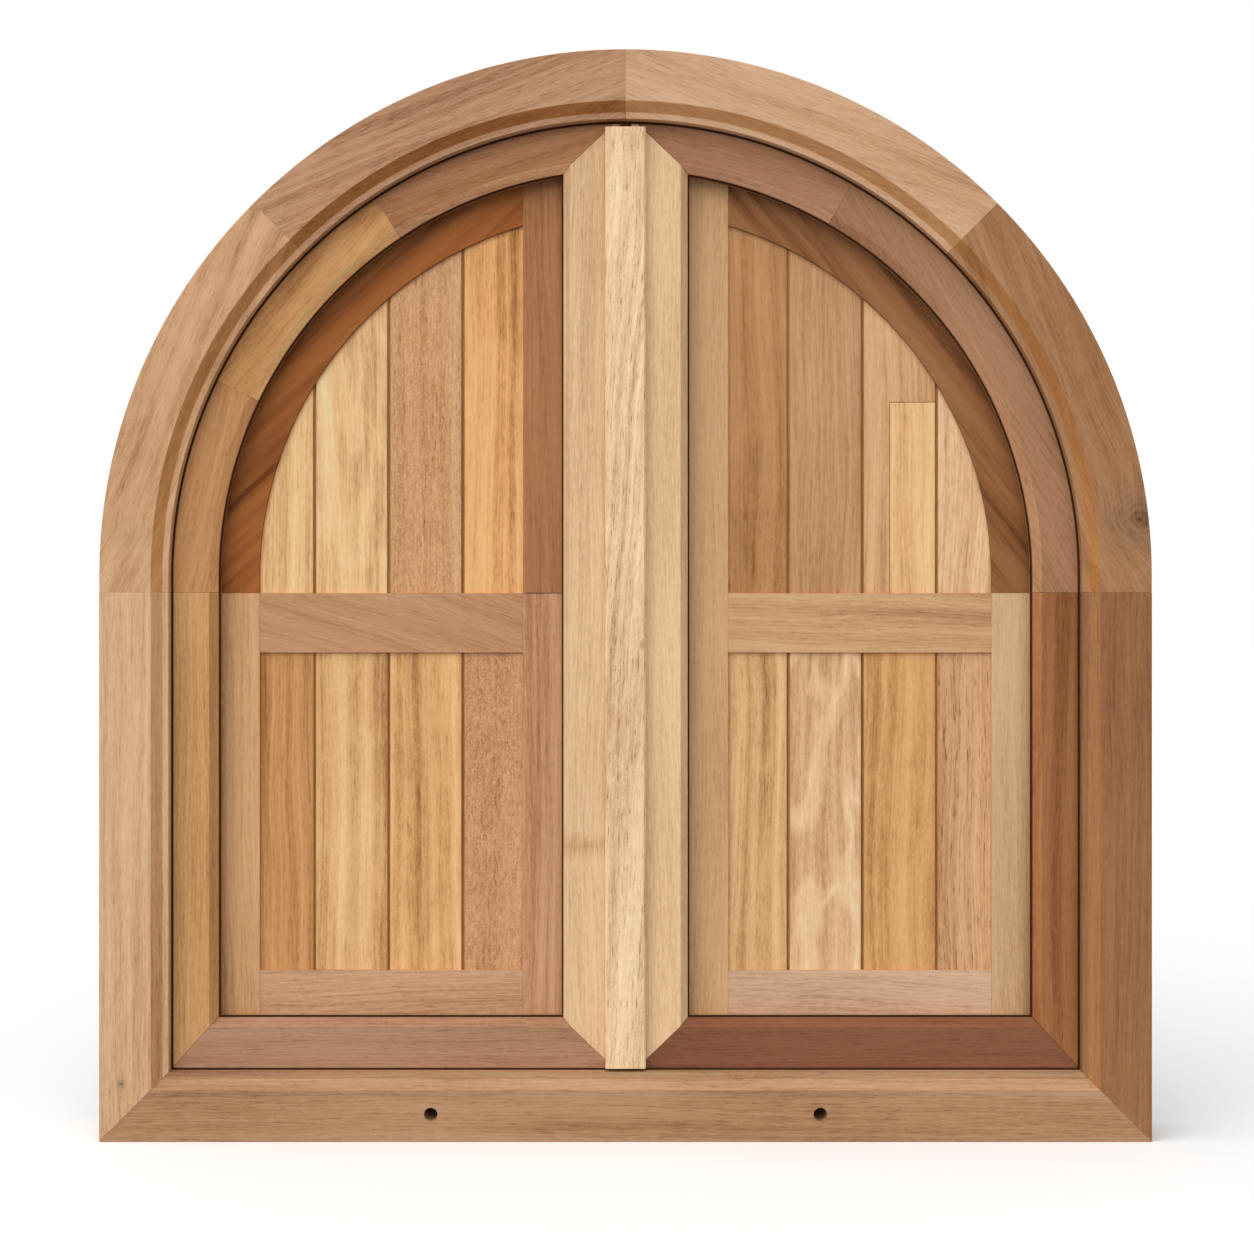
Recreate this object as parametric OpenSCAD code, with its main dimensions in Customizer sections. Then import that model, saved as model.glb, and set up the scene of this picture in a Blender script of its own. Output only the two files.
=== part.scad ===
/* [Frame] */
// Overall width of the frame
frame_w = 1000; // [800:10:1400]
// Height of the joints where the arch begins
springing_z = 522; // [480:2:900]
// Straight length at the foot of the arch pieces
arch_stilt = 16; // [4:1:60]
// Depth of the frame from outside to inside
frame_depth = 70; // [58:1:90]
// Width of the flat outside face
frame_face = 49; // [36:1:70]
// Width and depth of the chamfer on the inner edge
frame_chamfer = 9; // [4:1:12]
// Width of the narrow lip inside the chamfer
frame_lip = 6; // [3:1:12]
// Part of the frame's depth that lies before the sash rebate
stop_share = 0.286; // [0.24:0.002:0.3]
// How far the lip stands over the rebate
rebate_lap = 11; // [8:1:16]

/* [Drainage] */
// Diameter of the weep holes in the sill
weep_d = 13; // [8:0.5:18]
// Distance of each weep hole from the middle
weep_x = 185; // [100:5:300]
// Height of the weep holes
weep_z = 26; // [16:1:34]
// Depth of the drain channel in the sill rebate
channel_h = 4; // [2:0.5:8]
// Width of the drain channel
channel_w = 8; // [4:1:9]
// Distance of the channel behind the rebate stop
channel_inset = 16; // [10:1:24]

/* [Sashes] */
// Gap around the sashes in the frame rebate
sash_gap = 3; // [2:0.5:4]
// Gap between the rebate stop and the sash face
seal_gap = 2; // [1:0.5:4]
// Width of the flat face of the hinge stiles and arch
sash_face = 44; // [38:1:60]
// Width of the flat face of the bottom rails
rail_face = 49; // [40:1:70]
// Width of the flat face of the meeting stiles
meeting_face = 51.5; // [46:0.5:70]
// Width of the chamfer round the glass
sash_chamfer_w = 7; // [4:0.5:10]
// Depth of the chamfer round the glass, as a part of the frame's depth
sash_chamfer_share = 0.142; // [0.1:0.002:0.15]
// Gap between the two sashes at the inside face
meeting_gap = 3; // [2:0.5:5]
// How far the meeting edges lean back at the outside face
meeting_bevel = 4; // [3.5:0.5:8]
// Angles of the arch joints in the left sash, from the springing
left_arch_joints = [25.5, 56.4];
// Angle of the arch joint in the right sash, from the springing
right_arch_joint = 60; // [30:1:75]

/* [Glazing] */
// Thickness of the lip that the glass lies against
glazing_stop = 4; // [3:0.5:5]
// Width of the glazing rebate
glass_rebate = 12; // [9:0.5:14]
// Thickness of the glass
glass_t = 4; // [3:0.5:5]
// Gap between the edge of the glass and its rebate
glass_gap = 2; // [1:0.5:4]
// Depth of the glazing beads, as a part of the frame's depth
bead_share = 0.158; // [0.12:0.002:0.166]
// Chamfer on the glazing beads
bead_chamfer = 4; // [2:0.5:6]
// Gap in the joints between the beads
bead_gap = 0.4; // [0.2:0.1:1]

/* [Cover strips] */
// Width of the strips over the meeting joint
strip_w = 39; // [30:1:60]
// Thickness of the outer strip
outer_strip_t = 12; // [8:0.5:14]
// Thickness of the inner strip
inner_strip_t = 12; // [8:0.5:18]
// Chamfer on the long edges of the strips
strip_chamfer = 2; // [1:0.5:3]
// Relief of a strip over the leaf that it only laps
strip_relief = 0.5; // [0.3:0.1:1]
// Distance of the outer strip's upper end from the lip
strip_top_gap = 7; // [4:0.5:14]
// Distance of the outer strip's lower end from the lip
strip_foot_gap = 3; // [2:0.5:14]
// Distance of the inner strip's ends from the sash edge
inner_strip_gap = 4; // [2:0.5:14]

/* [Shutters] */
// Width of the ledge in the sash that each shutter closes on
shutter_lap = 9; // [6:0.5:12]
// Gap round the edge of each shutter
shutter_gap = 3; // [2:0.5:4]
// Gap between that ledge and the shutter face
shutter_rest = 1; // [0.5:0.5:1.5]
// Width of the hinge stiles and the arch pieces
shutter_stile_w = 54; // [46:1:70]
// Width of the meeting stiles
shutter_meeting_w = 58; // [46:1:80]
// Height of the bottom rails
shutter_rail_h = 60; // [46:1:90]
// Height of the middle rails
mid_rail_h = 58; // [40:1:80]
// Thickness of the boards, as a part of the frame's depth
board_share = 0.142; // [0.11:0.002:0.144]
// Width of one board
board_w = 72.5; // [50:0.5:100]
// Distance of the middle board joint from the middle of the panel
board_shift = 3; // [-8:0.5:8]
// Width of the chamfers that make the board joints
board_vee = 1.6; // [0.8:0.2:2]
// Length of the tongues of the boards
tongue_l = 5; // [3:0.5:6]
// Thickness of the tongues of the boards
tongue_t = 3; // [2:0.5:4]
// Depth of the grooves that hold the boards
groove_depth = 8; // [6:0.5:10]
// Gap between the boards and the bottom of the grooves
groove_gap = 0.6; // [0.3:0.1:1.5]
// Gap in the joints between the boards
board_gap = 0.4; // [0.2:0.1:1]
// Width of the repair piece in a right upper board
patch_w = 46; // [30:1:60]
// Height of that piece above the middle rail
patch_h = 187; // [100:1:240]

/* [Hinges] */
// Height of the sash hinges
sash_hinge_h = 80; // [60:2:84]
// Radius of the knuckles of the sash hinges
sash_knuckle_r = 5.5; // [5:0.1:6]
// Radius of the pins of the sash hinges
sash_pin_r = 3; // [2.5:0.1:3.2]
// Height of the shutter hinges
shutter_hinge_h = 60; // [40:2:64]
// Radius of the knuckles of the shutter hinges
shutter_knuckle_r = 4.5; // [4.2:0.1:5]
// Radius of the pins of the shutter hinges
shutter_pin_r = 2.2; // [1.8:0.1:2.4]
// Thickness of the hinge leaves
leaf_t = 2; // [1.5:0.1:2.4]
// Width of the sash hinge leaves
sash_leaf_w = 21; // [14:1:22]
// Width of the shutter hinge leaves
shutter_leaf_w = 17; // [12:1:18]
// Distance of the outermost hinges from the ends of the hinge stiles
hinge_inset = 22; // [12:1:30]
// Distance between neighbouring hinges on the stiles
hinge_spacing = 20; // [10:1:26]
// Running gap between a pin and its knuckles
pin_play = 0.05; // [0.02:0.01:0.1]
// Gap between two knuckles
knuckle_play = 0.4; // [0.3:0.1:0.8]

/* [Bolt] */
// Height of the handle above the springing
bolt_rise = 0; // [-60:5:60]
// Width of the bolt case
case_w = 34; // [30:1:44]
// Height of the bolt case
case_h = 116; // [100:2:150]
// Thickness of the bolt case
case_t = 19; // [17:0.5:24]
// Radius of the bolt rods
rod_r = 5; // [4:0.1:5.5]
// Gap between the rods and what guides them
rod_play = 0.4; // [0.3:0.1:0.6]
// Distance of the rods behind the inner strip
rod_rise = 8; // [7:0.5:9]
// Travel of each rod
rod_travel = 18; // [14:1:20]
// Distance that the drawn rods stay short of the keeps
rod_clear = 5; // [3:0.5:8]
// Wall of the guides and keeps round the rods
keep_wall = 4.5; // [3:0.5:7]
// Height of the keeps beyond the reach of the rods
keep_cover = 8; // [4:1:12]
// Radius of the handle's spindle
spindle_r = 4; // [3:0.1:4.5]
// Length of the handle's grip
grip_l = 66; // [50:1:90]
// Radius of the handle's grip
grip_r = 8; // [6:0.5:9]
// Distance of the grip from the case
grip_rise = 26; // [20:1:40]

/* [Shutter fittings] */
// Height of the turn buttons and pulls above the sill
fitting_z = 300; // [240:5:400]
// Length of the turn buttons from the pivot
button_l = 24; // [20:1:30]
// Radius of the turn buttons
button_r = 6.5; // [5:0.5:7.5]
// Thickness of the turn buttons
button_t = 5; // [4:0.5:8]
// Radius of the pivot screws
screw_r = 2.2; // [1.8:0.1:2.6]
// Radius of the shutter pulls
pull_r = 11; // [8:0.5:14]
// Length of the shutter pulls
pull_l = 24; // [18:1:32]

/* [Hidden] */
$fn = 96;
// Length that is longer than anything in the window, for cutting shapes
reach = 4 * frame_w;
// A little extra for cuts that run out of a face
over = 1;

// Frame: radius of its outer edge, centre of the arch, angles from the springing
frame_r = frame_w / 2;
arch_z = springing_z + arch_stilt;
crown = 90;
frame_joint = crown / 2;
frame_sight = frame_face + frame_chamfer + frame_lip;
frame_rebate = frame_sight - rebate_lap;
stop_depth = stop_share * frame_depth;
channel_mid = stop_depth + channel_inset + channel_w / 2;

// Depths from the outside face of the frame
sash_chamfer_d = sash_chamfer_share * frame_depth;
bead_depth = bead_share * frame_depth;
board_t = board_share * frame_depth;
sash_front = stop_depth + seal_gap;
glass_front = sash_front + sash_chamfer_d + glazing_stop;
glass_back = glass_front + glass_t;
shutter_stop = glass_back + bead_depth;
shutter_front = shutter_stop + shutter_rest;
board_front = (shutter_front + frame_depth - board_t) / 2;
board_back = board_front + board_t;
board_mid = (board_front + board_back) / 2;

// Edges of the left leaf: radius of the arch, distance from the middle, height of the foot
sash_edge = [frame_r - frame_rebate - sash_gap, meeting_gap / 2, frame_rebate + sash_gap];
sight_edge = sash_edge + [-sash_face, meeting_face, rail_face] + sash_chamfer_w * [-1, 1, 1];
glazing_edge = widened(sight_edge, glass_rebate);
glass_edge = widened(glazing_edge, -glass_gap);
shutter_edge = widened(glazing_edge, shutter_lap - shutter_gap);
panel_edge = shutter_edge + [-shutter_stile_w, shutter_meeting_w, shutter_rail_h];
housing = groove_depth - groove_gap;
board_edge = widened(panel_edge, housing);
mid_rail_z = springing_z - mid_rail_h;

// Board joints, from the meeting stile to the hinge stile
panel_mid = (panel_edge[0] + panel_edge[1]) / 2 + board_shift;
half_boards = max(2, round((panel_edge[0] - panel_edge[1]) / 2 / board_w));
board_joints = [for (i = [1 - half_boards : half_boards - 1]) panel_mid + i * board_w];
board_xs = concat([board_edge[1]], board_joints, [board_edge[0]]);
patched_board = len(board_xs) - 3;

// Hinges: the knuckles stand just clear of the inside faces
knuckle_lift = 0.5;
hinge_knuckles = 3;
sash_axis = [-sash_edge[0] - sash_gap / 2, frame_depth + sash_knuckle_r + knuckle_lift];
shutter_axis = [-shutter_edge[0] - shutter_gap / 2, frame_depth + shutter_knuckle_r + knuckle_lift];
sash_hinge_zs = [sash_edge[2] + hinge_inset, springing_z - hinge_inset - sash_hinge_h];
shutter_hinge_zs = [
  sash_hinge_zs[0] + sash_hinge_h + hinge_spacing,
  sash_hinge_zs[1] - hinge_spacing - shutter_hinge_h
];

// Bolt: depths, and heights of the keeps and of the drawn rods
strip_back = frame_depth + inner_strip_t;
case_back = strip_back + case_t;
case_chamfer = 4;
rod_depth = strip_back + rod_rise;
rod_hole_r = rod_r + rod_play;
rod_taper = 1.5;
bolt_z = springing_z + bolt_rise;
keep_r = rod_hole_r + keep_wall;
keep_flange = 7;
keep_plate = 3;
keep_inset = 3;
keep_h = rod_travel + keep_cover;
upper_keep_z = arch_z + frame_r - frame_rebate + keep_inset;
lower_keep_z = frame_rebate - keep_inset;
rod_ends = [lower_keep_z + rod_clear, upper_keep_z - rod_clear];
rod_parting = 2 * spindle_r;
spindle_depth = 7;
collar_r = 10;
collar_t = 4;
turning_gap = 0.4;

// Shutter fittings
button_x = (strip_w / 2 + shutter_edge[1] - shutter_gap) / 2;
screw_head_r = 2 * screw_r;
screw_head_t = 2;
pull_x = shutter_edge[1] + shutter_meeting_w / 2;
pull_base_t = 2;
pull_neck_r = pull_r / 2;

// Sections: distance from the outer edge, depth from the outside face
frame_section = [
  [0, 0],
  [frame_face, 0],
  [frame_face + frame_chamfer, frame_chamfer],
  [frame_sight, frame_chamfer],
  [frame_sight, stop_depth],
  [frame_rebate, stop_depth],
  [frame_rebate, frame_depth],
  [0, frame_depth]
];
bead_section = [
  [0, glass_back],
  [glass_rebate, glass_back],
  [glass_rebate, shutter_stop - bead_chamfer],
  [glass_rebate - bead_chamfer, shutter_stop],
  [0, shutter_stop]
];
mid_rail_section = [
  [0, shutter_front],
  [mid_rail_h, shutter_front],
  [mid_rail_h, board_front],
  [mid_rail_h - groove_depth, board_front],
  [mid_rail_h - groove_depth, board_back],
  [mid_rail_h, board_back],
  [mid_rail_h, frame_depth],
  [0, frame_depth],
  [0, board_back],
  [groove_depth, board_back],
  [groove_depth, board_front],
  [0, board_front]
];

// Timber and metal colours
pale = "#d9c29a";
tan = "#c9a878";
golden = "#c99f63";
rosy = "#a97b57";
brown = "#94694a";
russet = "#7d5139";
clear = "#dfeaea";
brass = "#b08d4f";
iron = "#5a5650";

// Edges of a leaf moved outward by one distance
function widened(edge, by) = edge + by * [1, -1, -1];

// Corners of a leaf, seen from outside
function hinge_foot(edge) = [-edge[0], edge[2]];
function meeting_foot(edge) = [-edge[1], edge[2]];
function meeting_head(edge) = [-edge[1], arch_z + sqrt(pow(edge[0], 2) - pow(edge[1], 2))];

// Section of a sash member with a face of this width
function sash_section(face) =
  let (sight = face + sash_chamfer_w, glazing = sight - glass_rebate, ledge = glazing - shutter_lap)
  [
    [0, sash_front],
    [face, sash_front],
    [sight, sash_front + sash_chamfer_d],
    [sight, glass_front],
    [glazing, glass_front],
    [glazing, shutter_stop],
    [ledge, shutter_stop],
    [ledge, frame_depth],
    [0, frame_depth]
  ];

// Section of a shutter member, grooved on its inner edge
function shutter_section(width) = [
  [0, shutter_front],
  [width, shutter_front],
  [width, board_front],
  [width - groove_depth, board_front],
  [width - groove_depth, board_back],
  [width, board_back],
  [width, frame_depth],
  [0, frame_depth]
];

// Section of one board, with a tongue toward the hinges and a groove toward the middle
function board_section(near, far, grooved, tongued) =
  let (tip = far + tongue_l, bed = near + tongue_l + board_gap + groove_gap, half = (tongue_t + board_gap) / 2)
  concat(
    [[near + board_vee, board_front], [far - board_vee, board_front], [far, board_front + board_vee]],
    tongued ? notch(far, tip, tongue_t / 2) : [],
    [[far, board_back - board_vee], [far - board_vee, board_back]],
    [[near + board_vee, board_back], [near, board_back - board_vee]],
    grooved ? notch(near, bed, -half) : [],
    [[near, board_front + board_vee]]
  );

// Four corners of a tongue or a groove in the middle of a board's edge
function notch(edge, end, half) = [
  [edge, board_mid - half],
  [end, board_mid - half],
  [end, board_mid + half],
  [edge, board_mid + half]
];

// Section of a cover strip that sits on the leaf at +x and laps the other one
function strip_section(seat, thickness, outward) =
  let (face = seat + outward * thickness, lap = seat + outward * strip_relief, half = strip_w / 2)
  [
    [strip_chamfer - half, face],
    [half - strip_chamfer, face],
    [half, face - outward * strip_chamfer],
    [half, seat],
    [meeting_gap / 2, seat],
    [meeting_gap / 2, lap],
    [-half, lap],
    [-half, face - outward * strip_chamfer]
  ];

// Moves the window so that the origin lies at half the depth of the frame
module placed(tint) {
  translate([0, -frame_depth / 2, 0]) color(tint) children();
}

module on_right() {
  mirror([1, 0, 0]) children();
}

// A straight moulding that stands upright, its outer edge at x
module upright(section, x, inward, from, to) {
  translate([0, 0, from])
    linear_extrude(to - from) polygon([for (p = section) [x + inward * p[0], p[1]]]);
}

// A straight moulding that lies level, its outer edge at z
module level(section, z, from, to) {
  translate([from, 0, 0]) rotate([90, 0, 90])
    linear_extrude(to - from) polygon([for (p = section) [p[1], z + p[0]]]);
}

// A curved moulding of the left half of the arch, between two angles from the springing
module arched(section, radius, from, to) {
  translate([0, 0, arch_z]) on_right() rotate([90, 0, 0]) rotate([0, 0, from])
    rotate_extrude(angle = to - from) polygon([for (p = section) [radius - p[0], -p[1]]]);
}

// A curved moulding with its straight foot
module stilted(section, radius, to) {
  upright(section, -radius, 1, springing_z, arch_z);
  arched(section, radius, 0, to);
}

// Everything to the left of the line from one point to another, seen from outside
module side_of(start, end) {
  turn = atan2(end[1] - start[1], end[0] - start[0]);
  rotate([90, 0, 0]) linear_extrude(2 * reach, center = true)
    translate(start) rotate(turn) translate([-reach, 0]) square([2 * reach, reach]);
}

// A thin cut through a lining, along its joint from one corner to the other
module saw_cut(start, end, gap) {
  turn = atan2(end[1] - start[1], end[0] - start[0]);
  length = norm(end - start);
  rotate([90, 0, 0]) linear_extrude(2 * reach, center = true)
    translate(start) rotate(turn) translate([-over, -gap / 2]) square([length + 2 * over, gap]);
}

// Everything outside an arch of this radius on the left half
module beyond_arch(radius) {
  arched([[-reach, -over], [0, -over], [0, frame_depth + over], [-reach, frame_depth + over]], radius, 0, crown);
}

// Everything beyond the meeting edge of the left sash, which leans back toward the outside
module beyond_meeting_edge() {
  depth = frame_depth - sash_front;
  translate([0, 0, -reach]) linear_extrude(2 * reach) polygon([
    [-sash_edge[1] - 2 * meeting_bevel, sash_front - depth],
    [-sash_edge[1] + meeting_bevel, frame_depth + depth],
    [reach, frame_depth + depth],
    [reach, sash_front - depth]
  ]);
}

// The four sides of a mitred lining of the left leaf
module hinge_side(section, outer, inner, top) {
  intersection() {
    upright(section, -outer[0], 1, outer[2], top);
    side_of(hinge_foot(outer), hinge_foot(inner));
  }
}

module foot_side(section, outer, inner) {
  difference() {
    level(section, outer[2], -outer[0], -outer[1]);
    side_of(hinge_foot(outer), hinge_foot(inner));
    side_of(meeting_foot(inner), meeting_foot(outer));
  }
}

module meeting_side(section, outer, inner) {
  difference() {
    intersection() {
      upright(section, -outer[1], -1, outer[2], meeting_head(outer)[1]);
      side_of(meeting_foot(inner), meeting_foot(outer));
    }
    side_of(meeting_head(inner), meeting_head(outer));
  }
}

module head_side(section, outer, inner, from) {
  intersection() {
    arched(section, outer[0], from, crown);
    side_of(meeting_head(inner), meeting_head(outer));
  }
}

// Frame
module jamb() {
  intersection() {
    upright(frame_section, -frame_r, 1, 0, springing_z);
    side_of([-frame_r, 0], [frame_sight - frame_r, frame_sight]);
  }
}

// Channel in the sill rebate, with a drop to each weep hole
module drainage() {
  half = frame_r - frame_sight;
  translate([-half, channel_mid - channel_w / 2, frame_rebate - channel_h])
    cube([2 * half, channel_w, channel_h + over]);
  for (x = [-weep_x, weep_x]) {
    translate([x, -over, weep_z]) rotate([-90, 0, 0])
      cylinder(d = weep_d, h = channel_mid + channel_w / 2 + over);
    translate([x, channel_mid, weep_z]) cylinder(d = channel_w, h = frame_rebate - weep_z);
  }
}

module sill() {
  placed(tan) difference() {
    level(frame_section, 0, -frame_r, frame_r);
    side_of([-frame_r, 0], [frame_sight - frame_r, frame_sight]);
    on_right() side_of([-frame_r, 0], [frame_sight - frame_r, frame_sight]);
    drainage();
  }
}

module left_jamb() {
  placed(pale) jamb();
}

module right_jamb() {
  placed(brown) on_right() jamb();
}

module left_lower_arch() {
  placed(tan) stilted(frame_section, frame_r, frame_joint);
}

module left_upper_arch() {
  placed(rosy) arched(frame_section, frame_r, frame_joint, crown);
}

module right_upper_arch() {
  placed(pale) on_right() arched(frame_section, frame_r, frame_joint, crown);
}

module right_lower_arch() {
  placed(brown) on_right() stilted(frame_section, frame_r, frame_joint);
}

// Sashes
module sash_stile() {
  hinge_side(sash_section(sash_face), sash_edge, sight_edge, springing_z);
}

module sash_rail() {
  difference() {
    foot_side(sash_section(rail_face), sash_edge, sight_edge);
    beyond_meeting_edge();
  }
}

module meeting_stile() {
  difference() {
    meeting_side(sash_section(meeting_face), sash_edge, sight_edge);
    beyond_meeting_edge();
  }
}

module sash_upper_arch(from) {
  difference() {
    head_side(sash_section(sash_face), sash_edge, sight_edge, from);
    beyond_meeting_edge();
  }
}

module left_sash_stile() {
  placed(golden) sash_stile();
}

module left_sash_rail() {
  placed(rosy) sash_rail();
}

module left_meeting_stile() {
  placed(pale) meeting_stile();
}

module left_sash_lower_arch() {
  placed(golden) stilted(sash_section(sash_face), sash_edge[0], left_arch_joints[0]);
}

module left_sash_middle_arch() {
  placed(golden) arched(sash_section(sash_face), sash_edge[0], left_arch_joints[0], left_arch_joints[1]);
}

module left_sash_upper_arch() {
  placed(rosy) sash_upper_arch(left_arch_joints[1]);
}

module right_sash_stile() {
  placed(russet) on_right() sash_stile();
}

module right_sash_rail() {
  placed(russet) on_right() sash_rail();
}

module right_meeting_stile() {
  placed(pale) on_right() meeting_stile();
}

module right_sash_lower_arch() {
  placed(rosy) on_right() stilted(sash_section(sash_face), sash_edge[0], right_arch_joint);
}

module right_sash_upper_arch() {
  placed(rosy) on_right() sash_upper_arch(right_arch_joint);
}

// Cover strips: the outer one on the right sash, the inner one on the left sash
module outer_cover_strip() {
  placed(pale) translate([0, 0, frame_sight + strip_foot_gap])
    linear_extrude(arch_z + frame_r - 2 * frame_sight - strip_top_gap - strip_foot_gap)
      polygon(strip_section(sash_front, outer_strip_t, -1));
}

module inner_cover_strip() {
  placed(pale) on_right() translate([0, 0, sash_edge[2] + inner_strip_gap])
    linear_extrude(arch_z + sash_edge[0] - sash_edge[2] - 2 * inner_strip_gap)
      polygon(strip_section(frame_depth, inner_strip_t, 1));
}

// Glazing
module pane() {
  difference() {
    translate([-glass_edge[0], glass_front, glass_edge[2]])
      cube([glass_edge[0] - glass_edge[1], glass_t, arch_z + glass_edge[0] - glass_edge[2]]);
    beyond_arch(glass_edge[0]);
  }
}

module beads() {
  difference() {
    union() {
      hinge_side(bead_section, glazing_edge, sight_edge, arch_z);
      foot_side(bead_section, glazing_edge, sight_edge);
      meeting_side(bead_section, glazing_edge, sight_edge);
      head_side(bead_section, glazing_edge, sight_edge, 0);
    }
    saw_cut(hinge_foot(glazing_edge), hinge_foot(sight_edge), bead_gap);
    saw_cut(meeting_foot(glazing_edge), meeting_foot(sight_edge), bead_gap);
    saw_cut(meeting_head(glazing_edge), meeting_head(sight_edge), bead_gap);
    saw_cut([-glazing_edge[0], arch_z], [-sight_edge[0], arch_z], bead_gap);
  }
}

module left_glass() {
  placed(clear) pane();
}

module right_glass() {
  placed(clear) on_right() pane();
}

module left_glazing_beads() {
  placed(tan) beads();
}

module right_glazing_beads() {
  placed(tan) on_right() beads();
}

// Shutters
module shutter_stile() {
  upright(shutter_section(shutter_stile_w), -shutter_edge[0], 1, shutter_edge[2], springing_z);
}

module shutter_meeting_stile() {
  difference() {
    upright(shutter_section(shutter_meeting_w), -shutter_edge[1], -1, shutter_edge[2], arch_z + shutter_edge[0]);
    beyond_arch(shutter_edge[0]);
  }
}

module shutter_arch() {
  difference() {
    stilted(shutter_section(shutter_stile_w), shutter_edge[0], crown);
    translate([-panel_edge[1], -over, springing_z]) cube([reach, frame_depth + 2 * over, reach]);
  }
}

// Stub tenons that fit the grooves of the stiles
module tenons(from, to) {
  for (x = [-panel_edge[0] - housing, -panel_edge[1]])
    translate([x, board_front, from]) cube([housing, board_t, to - from]);
}

module shutter_bottom_rail() {
  level(shutter_section(shutter_rail_h), shutter_edge[2], -panel_edge[0], -panel_edge[1]);
  tenons(shutter_edge[2], panel_edge[2] - groove_depth);
}

module shutter_middle_rail() {
  level(mid_rail_section, mid_rail_z, -panel_edge[0], -panel_edge[1]);
  tenons(mid_rail_z + groove_depth, springing_z - groove_depth);
}

module board(i, from, to) {
  near = board_xs[i] + board_gap / 2;
  far = board_xs[i + 1] - board_gap / 2;
  translate([0, 0, from]) linear_extrude(to - from) polygon([
    for (p = board_section(near, far, i > 0, i < len(board_xs) - 2)) [-p[0], p[1]]
  ]);
}

module upper_board(i) {
  difference() {
    board(i, springing_z - housing, arch_z + board_edge[0]);
    beyond_arch(board_edge[0]);
  }
}

// Room of the repair piece, on the hinge side of its board
module patch_room(gap) {
  translate([-board_xs[patched_board + 1] - tongue_l - over, 0, springing_z - groove_depth])
    cube([patch_w + tongue_l + over - gap, frame_depth, patch_h + groove_depth - gap]);
}

module patched_upper_board() {
  difference() {
    upper_board(patched_board);
    patch_room(0);
  }
  intersection() {
    upper_board(patched_board);
    patch_room(board_gap);
  }
}

module lower_boards() {
  for (i = [0 : len(board_xs) - 2]) board(i, board_edge[2], mid_rail_z + housing);
}

module left_shutter_stile() {
  placed(tan) shutter_stile();
}

module left_shutter_meeting_stile() {
  placed(brown) shutter_meeting_stile();
}

module left_shutter_arch() {
  placed(russet) shutter_arch();
}

module left_shutter_middle_rail() {
  placed(rosy) shutter_middle_rail();
}

module left_shutter_bottom_rail() {
  placed(rosy) shutter_bottom_rail();
}

module left_upper_boards() {
  placed(golden) for (i = [0 : len(board_xs) - 2]) upper_board(i);
}

module left_lower_boards() {
  placed(golden) lower_boards();
}

module right_shutter_stile() {
  placed(tan) on_right() shutter_stile();
}

module right_shutter_meeting_stile() {
  placed(tan) on_right() shutter_meeting_stile();
}

module right_shutter_arch() {
  placed(brown) on_right() shutter_arch();
}

module right_shutter_middle_rail() {
  placed(tan) on_right() shutter_middle_rail();
}

module right_shutter_bottom_rail() {
  placed(pale) on_right() shutter_bottom_rail();
}

module right_upper_boards() {
  placed(tan) on_right() {
    for (i = [0 : len(board_xs) - 2]) if (i != patched_board) upper_board(i);
    patched_upper_board();
  }
}

module right_lower_boards() {
  placed(golden) on_right() lower_boards();
}

// Hinges: a leaf to the left of its axis, with some of the knuckles
module hinge_leaf(height, knuckle_r, pin_r, width, knuckles) {
  pitch = height / hinge_knuckles;
  root = knuckle_r + pin_play + knuckle_lift;
  seat = -knuckle_r - knuckle_lift;
  difference() {
    union() {
      translate([-root - width, seat, 0]) cube([width, leaf_t, height]);
      for (i = knuckles) translate([0, 0, i * pitch + knuckle_play / 2]) {
        cylinder(r = knuckle_r, h = pitch - knuckle_play);
        translate([-root - over, seat, 0]) cube([root + over, leaf_t, pitch - knuckle_play]);
      }
    }
    translate([0, 0, -over]) cylinder(r = pin_r + pin_play, h = height + 2 * over);
  }
}

module dome(radius) {
  difference() {
    sphere(radius);
    translate([-radius, -radius, -2 * radius]) cube(2 * radius);
  }
}

module hinge_pin(height, knuckle_r, pin_r) {
  cylinder(r = pin_r, h = height);
  translate([0, 0, height]) dome(knuckle_r);
  mirror([0, 0, 1]) dome(knuckle_r);
}

module at_sash_hinges() {
  for (z = sash_hinge_zs) translate([sash_axis[0], sash_axis[1], z]) children();
}

module at_shutter_hinges() {
  for (z = shutter_hinge_zs) translate([shutter_axis[0], shutter_axis[1], z]) children();
}

module frame_leaf() {
  hinge_leaf(sash_hinge_h, sash_knuckle_r, sash_pin_r, sash_leaf_w, [0, 2]);
}

module sash_leaf() {
  on_right() hinge_leaf(sash_hinge_h, sash_knuckle_r, sash_pin_r, sash_leaf_w, [1]);
}

module shutter_seat_leaf() {
  hinge_leaf(shutter_hinge_h, shutter_knuckle_r, shutter_pin_r, shutter_leaf_w, [0, 2]);
}

module shutter_leaf() {
  on_right() hinge_leaf(shutter_hinge_h, shutter_knuckle_r, shutter_pin_r, shutter_leaf_w, [1]);
}

module frame_hinge_leaves() {
  placed(iron) {
    at_sash_hinges() frame_leaf();
    on_right() at_sash_hinges() frame_leaf();
  }
}

module frame_hinge_pins() {
  placed(iron) {
    at_sash_hinges() hinge_pin(sash_hinge_h, sash_knuckle_r, sash_pin_r);
    on_right() at_sash_hinges() hinge_pin(sash_hinge_h, sash_knuckle_r, sash_pin_r);
  }
}

module left_sash_hinge_leaves() {
  placed(iron) at_sash_hinges() sash_leaf();
}

module right_sash_hinge_leaves() {
  placed(iron) on_right() at_sash_hinges() sash_leaf();
}

module left_shutter_hinge_seats() {
  placed(iron) at_shutter_hinges() shutter_seat_leaf();
}

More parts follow.
